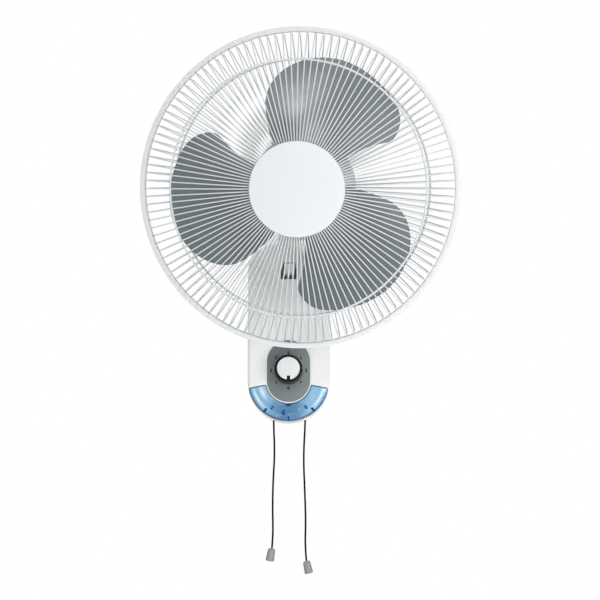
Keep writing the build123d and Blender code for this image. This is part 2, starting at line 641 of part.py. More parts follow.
# The end shields stand on four legs at the stator's corners and carry the bearings.
LEG_PITCH = SHIELD_SIDE - SHIELD_LEG
SHIELD_FRONT = STATOR_FRONT + SHIELD_STAND
SHIELD_REAR = STATOR_REAR - SHIELD_STAND
PLATE_AHEAD = HOUSING_FRONT + REAR_PLATE_SHEET
NOSE_FRONT = PLATE_AHEAD + NUT_HEIGHT + NOSE_SHOWS
with BuildPart() as front_end_shield:
    with BuildSketch(axis_plane(STATOR_FRONT)):
        with GridLocations(LEG_PITCH, LEG_PITCH, 2, 2):
            Rectangle(SHIELD_LEG, SHIELD_LEG)
    extrude(amount=SHIELD_STAND)
    with BuildSketch(axis_plane(SHIELD_FRONT)):
        Rectangle(SHIELD_SIDE, SHIELD_SIDE)
    extrude(amount=SHIELD_SHEET)
    with BuildSketch(axis_plane(SHIELD_FRONT)):
        Circle(NOSE_SHOULDER_RADIUS)
    extrude(amount=HOUSING_FRONT - HOUSING_WALL - SHIELD_FRONT)
    with BuildSketch(axis_plane(SHIELD_FRONT)):
        Circle(NOSE_RADIUS)
    extrude(amount=NOSE_FRONT - SHIELD_FRONT)
    with BuildSketch(axis_plane(SHIELD_FRONT)):
        Circle(BEARING_RADIUS + SLIM_GAP)
    extrude(amount=NOSE_FRONT - SHIELD_FRONT, mode=Mode.SUBTRACT)
save(front_end_shield, "front_end_shield")

with BuildPart() as rear_end_shield:
    with BuildSketch(axis_plane(STATOR_REAR)):
        with GridLocations(LEG_PITCH, LEG_PITCH, 2, 2):
            Rectangle(SHIELD_LEG, SHIELD_LEG)
    extrude(amount=-SHIELD_STAND)
    with BuildSketch(axis_plane(SHIELD_REAR)):
        Rectangle(SHIELD_SIDE, SHIELD_SIDE)
    extrude(amount=-SHIELD_SHEET)
    with BuildSketch(axis_plane(SHIELD_REAR)):
        Circle(BEARING_RADIUS + BOSS_WALL)
    extrude(amount=-BEARING_LENGTH)
    with BuildSketch(axis_plane(SHIELD_REAR)):
        Circle(BEARING_RADIUS + SLIM_GAP)
    extrude(amount=-BEARING_LENGTH, mode=Mode.SUBTRACT)
save(rear_end_shield, "rear_end_shield")

with BuildPart() as sleeve_bearings:
    for start in (SHIELD_REAR - BEARING_LENGTH, NOSE_FRONT - BEARING_LENGTH):
        with BuildSketch(axis_plane(start)):
            Circle(BEARING_RADIUS)
            Circle(SHAFT_RADIUS + RUNNING_GAP, mode=Mode.SUBTRACT)
        extrude(amount=BEARING_LENGTH)
save(sleeve_bearings, "sleeve_bearings")

motor_axis = Axis(axis_plane(0).origin, axis_plane(0).z_dir)
motor_section = Plane(axis_plane(0).origin, x_dir=head_frame.x_dir, z_dir=-head_frame.z_dir)

with BuildPart() as motor_front_cover:
    with BuildSketch(motor_section):
        with BuildLine():
            Polyline(
                (HOUSING_RADIUS, HOUSING_JOIN),
                (HOUSING_RADIUS, HOUSING_FRONT - HOUSING_BEVEL),
                (HOUSING_RADIUS - HOUSING_BEVEL, HOUSING_FRONT),
                (NOSE_RADIUS + SEAT_GAP, HOUSING_FRONT),
                (NOSE_RADIUS + SEAT_GAP, HOUSING_FRONT - HOUSING_WALL),
                (HOUSING_RADIUS - HOUSING_BEVEL - HOUSING_WALL / 2, HOUSING_FRONT - HOUSING_WALL),
                (HOUSING_RADIUS - HOUSING_WALL, HOUSING_FRONT - HOUSING_BEVEL - HOUSING_WALL / 2),
                (HOUSING_RADIUS - HOUSING_WALL, HOUSING_JOIN),
                close=True,
            )
        make_face()
    revolve(axis=motor_axis)
save(motor_front_cover, "motor_front_cover")


def tail_facets(middle, radius):
    """The tail's rounding as a few flats, from the side wall to the back."""
    turns = [radians(step * 90 / TAIL_FACETS) for step in range(TAIL_FACETS + 1)]
    return [(middle[0] + radius * cos(turn), middle[1] - radius * sin(turn)) for turn in turns]


with BuildPart() as motor_rear_cover:
    with BuildSketch(motor_section):
        with BuildLine():
            tail = HOUSING_REAR + TAIL_ROUNDING
            core = TAIL_ROUNDING - HOUSING_WALL
            middle = (HOUSING_RADIUS - TAIL_ROUNDING, tail)
            outside = tail_facets(middle, TAIL_ROUNDING)
            inside = tail_facets(middle, core)
            Polyline((HOUSING_RADIUS, HOUSING_JOIN), *outside, (0, HOUSING_REAR))
            Line((0, HOUSING_REAR), (0, HOUSING_REAR + HOUSING_WALL))
            Polyline(
                (0, HOUSING_REAR + HOUSING_WALL),
                *reversed(inside),
                (HOUSING_RADIUS - HOUSING_WALL, HOUSING_JOIN),
            )
            Line((HOUSING_RADIUS - HOUSING_WALL, HOUSING_JOIN), (HOUSING_RADIUS, HOUSING_JOIN))
        make_face()
    revolve(axis=motor_axis)
    with BuildSketch(axis_plane(HOUSING_REAR)):
        with PolarLocations((VENT_INNER + VENT_OUTER) / 2, VENT_COUNT):
            Rectangle(VENT_OUTER - VENT_INNER, VENT_WIDTH)
    extrude(amount=HOUSING_WALL, mode=Mode.SUBTRACT)
    # the opening that the head bracket comes out through
    with BuildSketch(head_frame.offset(SADDLE_TOP - SADDLE_RISE)):
        with Locations(((BRACKET_LEFT + BRACKET_RIGHT) / 2, 0)):
            Rectangle(
                BRACKET_RIGHT - BRACKET_LEFT + 2 * SEAT_GAP,
                BRACKET_BLOCK + 2 * SEAT_GAP,
            )
    extrude(amount=-HOUSING_RADIUS, mode=Mode.SUBTRACT)
save(motor_rear_cover, "motor_rear_cover")

# ================================================================ guard
def strip_outline(points, width):
    """Both sides of a bent wire of this width, with mitred corners."""
    runs = list(zip(points, points[1:]))
    headings = [atan2(end[1] - start[1], end[0] - start[0]) for start, end in runs]
    headings = [headings[0]] + headings + [headings[-1]]
    outline = []
    for side in (width / 2, -width / 2):
        row = []
        for (x, y), before, after in zip(points, headings, headings[1:]):
            lean = (before + after) / 2
            reach = side / cos((after - before) / 2)
            row.append((x - reach * sin(lean), y + reach * cos(lean)))
        outline += row if side > 0 else row[::-1]
    return outline


HOOP_INNER = GUARD_RADIUS - HOOP_WALL
RING_OUTER = HOOP_INNER - SEAT_GAP
RING_INNER = RING_OUTER - RING_WIDTH
SPOKE_RADIUS = RING_INNER - WIRE / 2 - RUNNING_GAP
RING_DEPTH = HOOP_DEPTH / 2 - HOOP_WALL - 1.5 * SEAT_GAP
BADGE_BACK = GUARD_AHEAD + BADGE_AHEAD
FRONT_MID = GUARD_AHEAD + FRONT_MID_AHEAD
REAR_MID = GUARD_AHEAD - REAR_MID_BEHIND
FRONT_WIRE = [
    (FRONT_SPOKE_START, BADGE_BACK - WIRE / 2),
    (FRONT_MID_RADIUS, FRONT_MID),
    (SPOKE_RADIUS, GUARD_AHEAD + FRONT_RIM_AHEAD),
    (SPOKE_RADIUS, GUARD_AHEAD + SEAT_GAP / 2),
]
REAR_WIRE = [
    (REAR_SPOKE_START, PLATE_AHEAD + WIRE / 2),
    (REAR_MID_RADIUS, REAR_MID),
    (SPOKE_RADIUS, GUARD_AHEAD - REAR_RIM_BEHIND),
    (SPOKE_RADIUS, GUARD_AHEAD - SEAT_GAP / 2),
]


def guard_half(route):
    """One half of the cage: a bent wire repeated round the motor axis."""
    with BuildPart() as wire:
        with BuildSketch(Plane.XZ):
            with BuildLine():
                Polyline(*strip_outline(route, WIRE), close=True)
            make_face()
        extrude(amount=WIRE / 2, both=True)
    return wire.part


front_wire = guard_half(FRONT_WIRE)
with BuildPart(axis_plane(0)) as front_guard_spokes:
    with PolarLocations(0, SPOKES):
        add(front_wire)
save(front_guard_spokes, "front_guard_spokes")

rear_wire = guard_half(REAR_WIRE)
with BuildPart(axis_plane(0)) as rear_guard_spokes:
    with PolarLocations(0, SPOKES):
        add(rear_wire)
save(rear_guard_spokes, "rear_guard_spokes")


def ring(start, outer, inner, depth):
    """A flat ring round the motor axis."""
    with BuildPart() as hoop:
        with BuildSketch(axis_plane(start)):
            Circle(outer)
            Circle(inner, mode=Mode.SUBTRACT)
        extrude(amount=depth)
    return hoop.part


# The welded rings lie behind the front wires and outside the rims of both halves.
MID_RING_DROP = WIRE / 2 + MID_RING_DEPTH
with BuildPart() as front_guard_rings:
    add(ring(GUARD_AHEAD + SEAT_GAP / 2, RING_OUTER, RING_INNER, RING_DEPTH))
    add(
        ring(
            FRONT_MID - MID_RING_DROP - SEAT_GAP,
            FRONT_MID_RADIUS,
            FRONT_MID_RADIUS - MID_RING_WIDTH,
            MID_RING_DEPTH,
        )
    )
    add(
        ring(
            BADGE_BACK - WIRE - HUB_RING_SHEET - HUB_RING_SINK,
            HUB_RING_RADIUS,
            HUB_RING_RADIUS - HUB_RING_WIDTH,
            HUB_RING_SHEET,
        )
    )
save(front_guard_rings, "front_guard_rings")

with BuildPart() as rear_guard_rings:
    add(ring(GUARD_AHEAD - SEAT_GAP / 2 - RING_DEPTH, RING_OUTER, RING_INNER, RING_DEPTH))
    add(
        ring(
            REAR_MID - MID_RING_DROP - SEAT_GAP,
            REAR_MID_RADIUS + MID_RING_WIDTH,
            REAR_MID_RADIUS,
            MID_RING_DEPTH,
        )
    )
save(rear_guard_rings, "rear_guard_rings")

with BuildPart() as rear_guard_plate:
    with BuildSketch(axis_plane(HOUSING_FRONT)):
        Circle(REAR_PLATE_RADIUS)
        Circle(NOSE_RADIUS + SEAT_GAP, mode=Mode.SUBTRACT)
    extrude(amount=REAR_PLATE_SHEET)
save(rear_guard_plate, "rear_guard_plate")

with BuildPart() as guard_nut:
    with BuildSketch(axis_plane(PLATE_AHEAD)):
        RegularPolygon(NUT_RADIUS, NUT_LOBES)
        Circle(NOSE_RADIUS + SLIM_GAP, mode=Mode.SUBTRACT)
    extrude(amount=NUT_HEIGHT)
save(guard_nut, "guard_nut")

with BuildPart() as clamp_hoop:
    with BuildSketch(motor_section):
        with Locations((GUARD_RADIUS, GUARD_AHEAD)):
            Rectangle(GUARD_RADIUS - RING_INNER - SEAT_GAP, HOOP_DEPTH, align=(Align.MAX, Align.CENTER))
        with Locations((HOOP_INNER, GUARD_AHEAD)):
            Rectangle(
                RING_WIDTH + SEAT_GAP,
                HOOP_DEPTH - 2 * HOOP_WALL,
                align=(Align.MAX, Align.CENTER),
                mode=Mode.SUBTRACT,
            )
    revolve(axis=motor_axis)
save(clamp_hoop, "clamp_hoop")

with BuildPart() as badge:
    with BuildSketch(motor_section):
        with BuildLine():
            Polyline(
                (0, BADGE_BACK - SPIGOT_LENGTH),
                (SPIGOT_RADIUS, BADGE_BACK - SPIGOT_LENGTH),
                (SPIGOT_RADIUS, BADGE_BACK),
                (BADGE_RADIUS, BADGE_BACK),
                (BADGE_RADIUS, BADGE_BACK + BADGE_SHEET),
                (BADGE_RADIUS / 2, BADGE_BACK + BADGE_SHEET + BADGE_STEP),
                (0, BADGE_BACK + BADGE_SHEET + BADGE_CROWN),
                close=True,
            )
        make_face()
    revolve(axis=motor_axis)
save(badge, "badge")

# ================================================================ turning fan
with BuildPart() as motor_shaft:
    with BuildSketch(axis_plane(SHAFT_REAR)):
        Circle(SHAFT_RADIUS)
    extrude(amount=HUB_FRONT + SPINNER_HEIGHT - SPINNER_WALL - SHAFT_REAR)
    with BuildSketch(head_frame.offset(-2 * SHAFT_RADIUS)):
        with Locations((MOTOR_OFFSET, -PIN_AHEAD)):
            Circle(DRIVE_PIN_RADIUS + SLIM_GAP)
    extrude(amount=4 * SHAFT_RADIUS, mode=Mode.SUBTRACT)
save(motor_shaft, "motor_shaft")

with BuildPart() as drive_pin:
    with BuildSketch(head_frame.offset(-DRIVE_PIN_LENGTH / 2)):
        with Locations((MOTOR_OFFSET, -PIN_AHEAD)):
            Circle(DRIVE_PIN_RADIUS)
    extrude(amount=DRIVE_PIN_LENGTH)
save(drive_pin, "drive_pin")

with BuildPart() as rotor_core:
    with BuildSketch(axis_plane(STATOR_REAR)):
        Circle(ROTOR_RADIUS)
        Circle(SHAFT_RADIUS + SLIM_GAP, mode=Mode.SUBTRACT)
    extrude(amount=STATOR_FRONT - STATOR_REAR)
save(rotor_core, "rotor_core")


def on_blade(radius, angle):
    """A point of the blade's outline, from its radius and its angle from the right."""
    return (radius * cos(radians(angle)), radius * sin(radians(angle)))


def blade_ahead(angle):
    """The twist: how far ahead of the swing axis the blade's middle lies."""
    return BLADE_MIDDLE + BLADE_PITCH * (angle - BLADE_MIDDLE_ANGLE)


with BuildPart() as blade:
    # a twisted slab, one radial section after another
    for step in range(BLADE_SECTIONS):
        share = step / (BLADE_SECTIONS - 1)
        angle = BLADE_FIRST_ANGLE + share * (BLADE_LAST_ANGLE - BLADE_FIRST_ANGLE)
        radial = (cos(radians(angle)), sin(radians(angle)), 0)
        across = (-sin(radians(angle)), cos(radians(angle)), 0)
        middle = (0, 0, blade_ahead(angle))
        with BuildSketch(Plane(middle, x_dir=radial, z_dir=across)):
            with Locations(((BLADE_ROOT + BLADE_SLAB) / 2, 0)):
                Rectangle(BLADE_SLAB - BLADE_ROOT, BLADE_SHEET)
    loft(ruled=True)
    with BuildSketch(Plane.XY):
        with BuildLine():
            edge = Spline([on_blade(*point) for point in BLADE_EDGE])
            Line(edge @ 1, edge @ 0)
        make_face()
    extrude(amount=BADGE_BACK, mode=Mode.INTERSECT)

with BuildPart(axis_plane(0)) as fan_blade:
    with PolarLocations(0, BLADES):
        add(blade.part)
    with BuildSketch(motor_section):
        with BuildLine():
            Polyline(
                (HUB_RADIUS - HUB_WALL, HUB_REAR),
                (HUB_RADIUS, HUB_REAR),
                (HUB_RADIUS, HUB_FRONT - HUB_BEVEL),
                (HUB_RADIUS - HUB_BEVEL, HUB_FRONT),
                (SHAFT_RADIUS + SLIM_GAP, HUB_FRONT),
                (SHAFT_RADIUS + SLIM_GAP, HUB_FRONT - HUB_BOSS_LENGTH),
                (HUB_BOSS_RADIUS, HUB_FRONT - HUB_BOSS_LENGTH),
                (HUB_BOSS_RADIUS, HUB_FRONT - HUB_WALL),
                (HUB_RADIUS - HUB_WALL, HUB_FRONT - HUB_WALL),
                close=True,
            )
        make_face()
    revolve(axis=motor_axis)
    # the slot that the drive pin sits in
    with BuildSketch(axis_plane(HUB_FRONT - HUB_BOSS_LENGTH)):
        Rectangle(2 * DRIVE_PIN_RADIUS + SEAT_GAP, 2 * HUB_BOSS_RADIUS + HUB_WALL)
    extrude(amount=2 * DRIVE_PIN_RADIUS + SEAT_GAP, mode=Mode.SUBTRACT)
save(fan_blade, "fan_blade")

with BuildPart() as spinner_nut:
    with BuildSketch(axis_plane(HUB_FRONT)):
        RegularPolygon(SPINNER_RADIUS, NUT_LOBES)
    extrude(amount=SPINNER_HEIGHT)
    with BuildSketch(axis_plane(HUB_FRONT)):
        Circle(SHAFT_RADIUS + SLIM_GAP)
    extrude(amount=SPINNER_HEIGHT - SPINNER_WALL, mode=Mode.SUBTRACT)
save(spinner_nut, "spinner_nut")

# ================================================================ dial
KNOB_BACK = COLUMN_DEPTH - PLATE_RECESS + PLATE_SHEET + SEAT_GAP
KNOB_FRONT = KNOB_BACK + KNOB_HEIGHT
CAP_BACK = KNOB_FRONT - CAP_RECESS
with BuildPart() as selector_spindle:
    with BuildSketch(wall_plane(SELECTOR_FRONT - SPINDLE_IN_SWITCH + RUNNING_GAP)):
        with Locations((0, KNOB_Z)):
            Circle(SPINDLE_RADIUS)
    extrude(amount=KNOB_BACK + SPINDLE_IN_KNOB - SELECTOR_FRONT + SPINDLE_IN_SWITCH - 2 * RUNNING_GAP)
save(selector_spindle, "selector_spindle")

with BuildPart() as knob_skirt:
    with BuildSketch(wall_plane(KNOB_BACK)):
        with Locations((0, KNOB_Z)):
            Circle(KNOB_RADIUS)
    extrude(amount=KNOB_HEIGHT, taper=degrees(atan2(KNOB_RADIUS - KNOB_FRONT_RADIUS, KNOB_HEIGHT)))
    with BuildSketch(wall_plane(CAP_BACK)):
        with Locations((0, KNOB_Z)):
            Circle(CAP_RADIUS + SEAT_GAP)
        with Locations((0, KNOB_Z - CAP_RADIUS - SEAT_GAP)):
            Rectangle(
                POINTER_WIDTH,
                POINTER_LENGTH,
                align=(Align.CENTER, Align.MIN),
                mode=Mode.SUBTRACT,
            )
    extrude(amount=KNOB_HEIGHT, mode=Mode.SUBTRACT)
    with BuildSketch(wall_plane(KNOB_BACK)):
        with Locations((0, KNOB_Z)):
            Circle(SPINDLE_RADIUS + SLIM_GAP)
    extrude(amount=SPINDLE_IN_KNOB, mode=Mode.SUBTRACT)
save(knob_skirt, "knob_skirt")

with BuildPart() as knob_cap:
    with BuildSketch(wall_plane(CAP_BACK)):
        with Locations((0, KNOB_Z)):
            Circle(CAP_RADIUS)
        with Locations((0, KNOB_Z - CAP_RADIUS - SEAT_GAP)):
            Rectangle(
                POINTER_WIDTH + 2 * SEAT_GAP,
                POINTER_LENGTH + SEAT_GAP,
                align=(Align.CENTER, Align.MIN),
                mode=Mode.SUBTRACT,
            )
    extrude(amount=CAP_SHEET)
save(knob_cap, "knob_cap")

# ================================================================ pull cords
def slider(x, switch_bottom):
    """The sliding bar of a pull switch, seen standing out below it."""
    with BuildPart() as bar:
        with BuildSketch(Plane.XY.offset(switch_bottom - SLIDER_SHOWS)):
            with Locations((x, -CORD_DEPTH)):
                Rectangle(SLIDER_SIZE, SLIDER_SIZE)
        extrude(amount=SLIDER_LENGTH)
    return bar


speed_lever = slider(SPEED_CORD_X, SELECTOR_BOTTOM)
save(speed_lever, "speed_lever")
swing_lever = slider(SWING_CORD_X, SWING_SWITCH_BOTTOM)
save(swing_lever, "swing_lever")


def pull_cord(route, name):
    """A hanging cord: straight runs joined by tangent arcs, six sided in section."""
    points = [Vector(*point) for point in route]
    runs = [end - start for start, end in zip(points, points[1:])]
    radii = []
    for before, after in zip(runs, runs[1:]):
        half_turn = radians(before.get_angle(after)) / 2
        radii.append(0.45 * min(before.length, after.length) / tan(half_turn))
    with BuildPart() as cord:
        with BuildLine() as path:
            FilletPolyline(*points, radius=radii)
        with BuildSketch(Plane(points[0], x_dir=(1, 0, 0), z_dir=runs[0])):
            RegularPolygon(CORD_RADIUS, 6)
        sweep(path=path.wires()[0])
    section = 1.5 * 3**0.5 * CORD_RADIUS**2
    length = path.wires()[0].length
    print(name, "radii", [round(radius) for radius in radii], "length", round(length, 1))
    print(name, "volume over section times length", round(cord.part.volume / section / length, 5))
    return cord


def pull_bell(end, lean):
    """The bell on a cord's end: straight neck, round shoulder and a bevelled lip."""
    axis = Vector(sin(radians(lean)), 0, -cos(radians(lean)))
    plane = Plane(Vector(*end) + axis * BELL_SEAT, x_dir=(0, 1, 0), z_dir=axis)
    side = Plane(plane.origin, x_dir=plane.x_dir, z_dir=plane.y_dir)
    with BuildPart() as bell:
        with BuildSketch(side):
            with BuildLine():
                Polyline(
                    (0, 0),
                    (BELL_TOP_RADIUS, 0),
                    (BELL_RADIUS - BELL_LIP / 2, -BELL_SHOULDER),
                    (BELL_RADIUS, BELL_LIP - BELL_HEIGHT),
                    (BELL_RADIUS - BELL_LIP, -BELL_HEIGHT),
                    (0, -BELL_HEIGHT),
                    close=True,
                )
            make_face()
        revolve(axis=Axis(plane.origin, plane.z_dir))
    return bell


speed_cord = pull_cord(SPEED_ROUTE, "speed_cord")
save(speed_cord, "speed_cord")
swing_cord = pull_cord(SWING_ROUTE, "swing_cord")
save(swing_cord, "swing_cord")
speed_bell = pull_bell(SPEED_ROUTE[-1], SPEED_BELL_LEAN)
save(speed_bell, "speed_bell")
swing_bell = pull_bell(SWING_ROUTE[-1], SWING_BELL_LEAN)
save(swing_bell, "swing_bell")
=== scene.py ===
"""The looks of the wall fan: finishes, round wires, smooth covers, cords, light and camera."""

from __future__ import annotations

import json
import logging
from dataclasses import dataclass
from enum import Enum
from math import cos, pi, radians, sin, tau
from typing import Iterable, Optional, Sequence

import bmesh
import bpy
from mathutils import Matrix, Vector

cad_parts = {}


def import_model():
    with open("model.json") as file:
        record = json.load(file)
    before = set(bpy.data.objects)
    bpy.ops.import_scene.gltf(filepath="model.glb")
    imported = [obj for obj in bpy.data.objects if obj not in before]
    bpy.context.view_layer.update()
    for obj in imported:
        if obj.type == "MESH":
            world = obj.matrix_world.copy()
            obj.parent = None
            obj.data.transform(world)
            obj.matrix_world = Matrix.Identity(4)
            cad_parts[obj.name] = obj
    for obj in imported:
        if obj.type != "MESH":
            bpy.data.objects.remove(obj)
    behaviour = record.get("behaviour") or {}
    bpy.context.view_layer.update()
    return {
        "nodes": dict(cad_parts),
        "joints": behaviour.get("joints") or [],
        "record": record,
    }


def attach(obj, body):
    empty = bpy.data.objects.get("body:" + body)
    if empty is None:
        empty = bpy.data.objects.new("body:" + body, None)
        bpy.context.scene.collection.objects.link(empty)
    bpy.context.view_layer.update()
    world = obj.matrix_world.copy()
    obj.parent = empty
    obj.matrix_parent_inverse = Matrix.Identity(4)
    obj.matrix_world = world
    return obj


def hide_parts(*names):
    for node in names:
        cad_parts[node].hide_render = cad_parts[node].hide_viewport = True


LOG = logging.getLogger("wall_fan")
MM = 0.001
WELD = 1e-6  # metres: corners nearer than this become one
CAD_WELD = 2e-6  # metres: the same, for the loose triangles of a CAD node
FLAT = 0.8  # degrees: faces of a CAD node that turn less than this become one
MOST_BEND = 0.45  # share of a wire's straight run that a bend may take at each end
Colour = tuple[float, float, float]
Place = tuple[float, float, float]
Span = tuple[float, float]  # the two ends of a change
Corners = tuple[tuple[float, float], ...]


class Part(str, Enum):
    """The CAD bodies that the pieces made here ride on."""

    COLUMN = "column"
    NECK = "neck"
    HEAD = "head"
    DIAL = "dial"
    SPEED_PULL = "speed_pull"
    SWING_PULL = "swing_pull"


# ---------------------------------------------------------------- shader maths
class Signal:
    """A node socket that can be added, multiplied and so on, like a number."""

    def __init__(self, tree: bpy.types.NodeTree, socket: bpy.types.NodeSocket) -> None:
        """Wraps a socket.

        Args:
            tree: the node tree that the socket is in.
            socket: the output that carries the value.
        """
        self.tree = tree
        self.socket = socket

    def _maths(self, operation: str, first: object, second: object) -> "Signal":
        """Adds one Math node.

        Args:
            operation: the Math node's operation.
            first: a Signal or a number.
            second: a Signal or a number.

        Returns:
            The node's result.
        """
        node = self.tree.nodes.new("ShaderNodeMath")
        node.operation = operation
        for slot, value in zip(node.inputs, (first, second)):
            if isinstance(value, Signal):
                self.tree.links.new(value.socket, slot)
            else:
                slot.default_value = float(value)
        return Signal(self.tree, node.outputs[0])

    def __add__(self, other: object) -> "Signal":
        """This plus other."""
        return self._maths("ADD", self, other)

    def __radd__(self, other: object) -> "Signal":
        """Other plus this."""
        return self._maths("ADD", other, self)

    def __sub__(self, other: object) -> "Signal":
        """This less other."""
        return self._maths("SUBTRACT", self, other)

    def __rsub__(self, other: object) -> "Signal":
        """Other less this."""
        return self._maths("SUBTRACT", other, self)

    def __mul__(self, other: object) -> "Signal":
        """This times other."""
        return self._maths("MULTIPLY", self, other)

    def __pow__(self, other: object) -> "Signal":
        """This to the power of other."""
        return self._maths("POWER", self, other)

    def __abs__(self) -> "Signal":
        """This without its sign."""
        return self._maths("ABSOLUTE", self, 0.0)

    def capped(self) -> "Signal":
        """This, or 1 where it is more."""
        return self._maths("MINIMUM", self, 1.0)

    def rise(self, start: float, end: float) -> "Signal":
        """0 before start, 1 after end and a smooth rise between them.

        Args:
            start: where the rise starts.
            end: where it ends, which may be the smaller of the two.

        Returns:
            The rise.
        """
        node = self.tree.nodes.new("ShaderNodeMapRange")
        node.interpolation_type = "SMOOTHSTEP"
        self.tree.links.new(self.socket, node.inputs["Value"])
        node.inputs["From Min"].default_value = start
        node.inputs["From Max"].default_value = end
        return Signal(self.tree, node.outputs["Result"])

    def band(self, middle: float, half: float) -> "Signal":
        """1 at a middle value, falling to 0 on both sides of it.

        Args:
            middle: the value where the band is 1.
            half: how far from it the band ends.

        Returns:
            The band.
        """
        return abs(self - middle).rise(half, 0.0)


class Shading:
    """One material under construction."""

    def __init__(self, name: str) -> None:
        """Starts an empty material.

        Args:
            name: the material's name.
        """
        self.material = bpy.data.materials.new(name)
        self.material.use_nodes = True
        self.tree = self.material.node_tree
        self.tree.nodes.clear()
        self.output = self.tree.nodes.new("ShaderNodeOutputMaterial")

    def node(
        self,
        kind: str,
        settings: Optional[dict[str, object]] = None,
        **sockets: object,
    ) -> bpy.types.Node:
        """Adds a node, its settings first and then its sockets.

        Args:
            kind: the node's type, such as "ShaderNodeTexNoise".
            settings: attributes to set on the node.
            sockets: values or Signals, by socket name with _ for a space.

        Returns:
            The new node.
        """
        made = self.tree.nodes.new(kind)
        for name, value in (settings or {}).items():
            setattr(made, name, value)
        for name, value in sockets.items():
            slot = made.inputs[name.replace("_", " ")]
            if isinstance(value, Signal):
                self.tree.links.new(value.socket, slot)
            else:
                slot.default_value = value
        return made

    def signal(self, made: bpy.types.Node, output: str) -> Signal:
        """One of a node's outputs, ready for maths.

        Args:
            made: the node.
            output: the output's name.

        Returns:
            The output's value.
        """
        return Signal(self.tree, made.outputs[output])

    def place(self) -> Signal:
        """The point being shaded, in the object's own metres."""
        return self.signal(self.node("ShaderNodeTexCoord"), "Object")

    def axes(self) -> tuple[Signal, Signal, Signal]:
        """The same point's x, y and z."""
        split = self.node("ShaderNodeSeparateXYZ", Vector=self.place())
        return self.signal(split, "X"), self.signal(split, "Y"), self.signal(split, "Z")

    def noise(self, scale: float, detail: float = 2.0) -> Signal:
        """Cloudy noise from 0 to 1.

        Args:
            scale: how many lumps there are to the metre.
            detail: how many finer octaves are added.

        Returns:
            The noise's value.
        """
        made = self.node("ShaderNodeTexNoise", Vector=self.place(), Scale=scale, Detail=detail)
        return self.signal(made, "Fac")

    def mix(self, low: object, high: object, factor: Signal) -> Signal:
        """A colour between two.

        Args:
            low: the colour at 0, as numbers or a Signal.
            high: the colour at 1, as numbers or a Signal.
            factor: how far between them.

        Returns:
            The mixed colour.
        """
        made = self.node("ShaderNodeMix", {"data_type": "RGBA"})
        self.tree.links.new(factor.socket, made.inputs[0])
        for slot, value in ((made.inputs[6], low), (made.inputs[7], high)):
            if isinstance(value, Signal):
                self.tree.links.new(value.socket, slot)
            else:
                slot.default_value = (*value[:3], 1.0)
        return Signal(self.tree, made.outputs[2])

    def bump(self, height: Signal, distance: float) -> Signal:
        """A surface normal from a height.

        Args:
            height: the height, from 0 to 1.
            distance: what a height of 1 stands for, in metres.

        Returns:
            The bumped normal.
        """
        made = self.node("ShaderNodeBump", Height=height, Distance=distance, Strength=1.0)
        return self.signal(made, "Normal")

    def surface(self, **sockets: object) -> bpy.types.Material:
        """Ends the material in a Principled shader.

        Args:
            sockets: the shader's values or Signals, by socket name with _ for a space.

        Returns:
            The finished material.
        """
        shader = self.node("ShaderNodeBsdfPrincipled", **sockets)
        self.tree.links.new(shader.outputs[0], self.output.inputs["Surface"])
        return self.material


def shade(colour: Colour, factor: float) -> Colour:
    """A colour made lighter or darker.

    Args:
        colour: the colour.
        factor: what it is multiplied by.

    Returns:
        The new colour.
    """
    return tuple(min(1.0, channel * factor) for channel in colour)


# ---------------------------------------------------------------- finishes
@dataclass(frozen=True)
class MouldedPlastic:
    """Injection moulded plastic: a fine even grain, a soft gloss and slight flow marks.

    In every finish, lumps are how many there are to the metre, depths are in metres, and a
    haze is how far a noise moves the roughness.
    """

    name: str
    colour: Colour
    roughness: float = 0.34
    grain: float = 0.000012
    grain_lumps: float = 1900.0
    grain_haze: float = 0.06
    flow: float = 0.02
    flow_lumps: float = 9.0
    flow_haze: float = 0.08
    gloss: float = 0.5

    def material(self) -> bpy.types.Material:
        """Builds the material."""
        work = Shading(self.name)
        marks = work.noise(self.flow_lumps, detail=3.0)
        fine = work.noise(self.grain_lumps)
        darker, lighter = shade(self.colour, 1 - self.flow), shade(self.colour, 1 + self.flow)
        haze = (marks - 0.5) * self.flow_haze + (fine - 0.5) * self.grain_haze
        return work.surface(
            Base_Color=work.mix(darker, lighter, marks),
            Roughness=self.roughness + haze,
            Specular_IOR_Level=self.gloss,
            Normal=work.bump(fine, self.grain),
        )


@dataclass(frozen=True)
class PowderCoat:
    """Powder coated wire or sheet: satin, with the coat's fine orange peel."""

    name: str
    colour: Colour
    roughness: float = 0.38
    peel_lumps: float = 700.0
    peel_depth: float = 0.00003
    peel_haze: float = 0.1
    patch_lumps: float = 14.0
    patch_shade: float = 0.97

    def material(self) -> bpy.types.Material:
        """Builds the material."""
        work = Shading(self.name)
        peel = work.noise(self.peel_lumps)
        patch = work.noise(self.patch_lumps)
        return work.surface(
            Base_Color=work.mix(shade(self.colour, self.patch_shade), self.colour, patch),
            Roughness=self.roughness + (peel - 0.5) * self.peel_haze,
            Normal=work.bump(peel, self.peel_depth),
        )


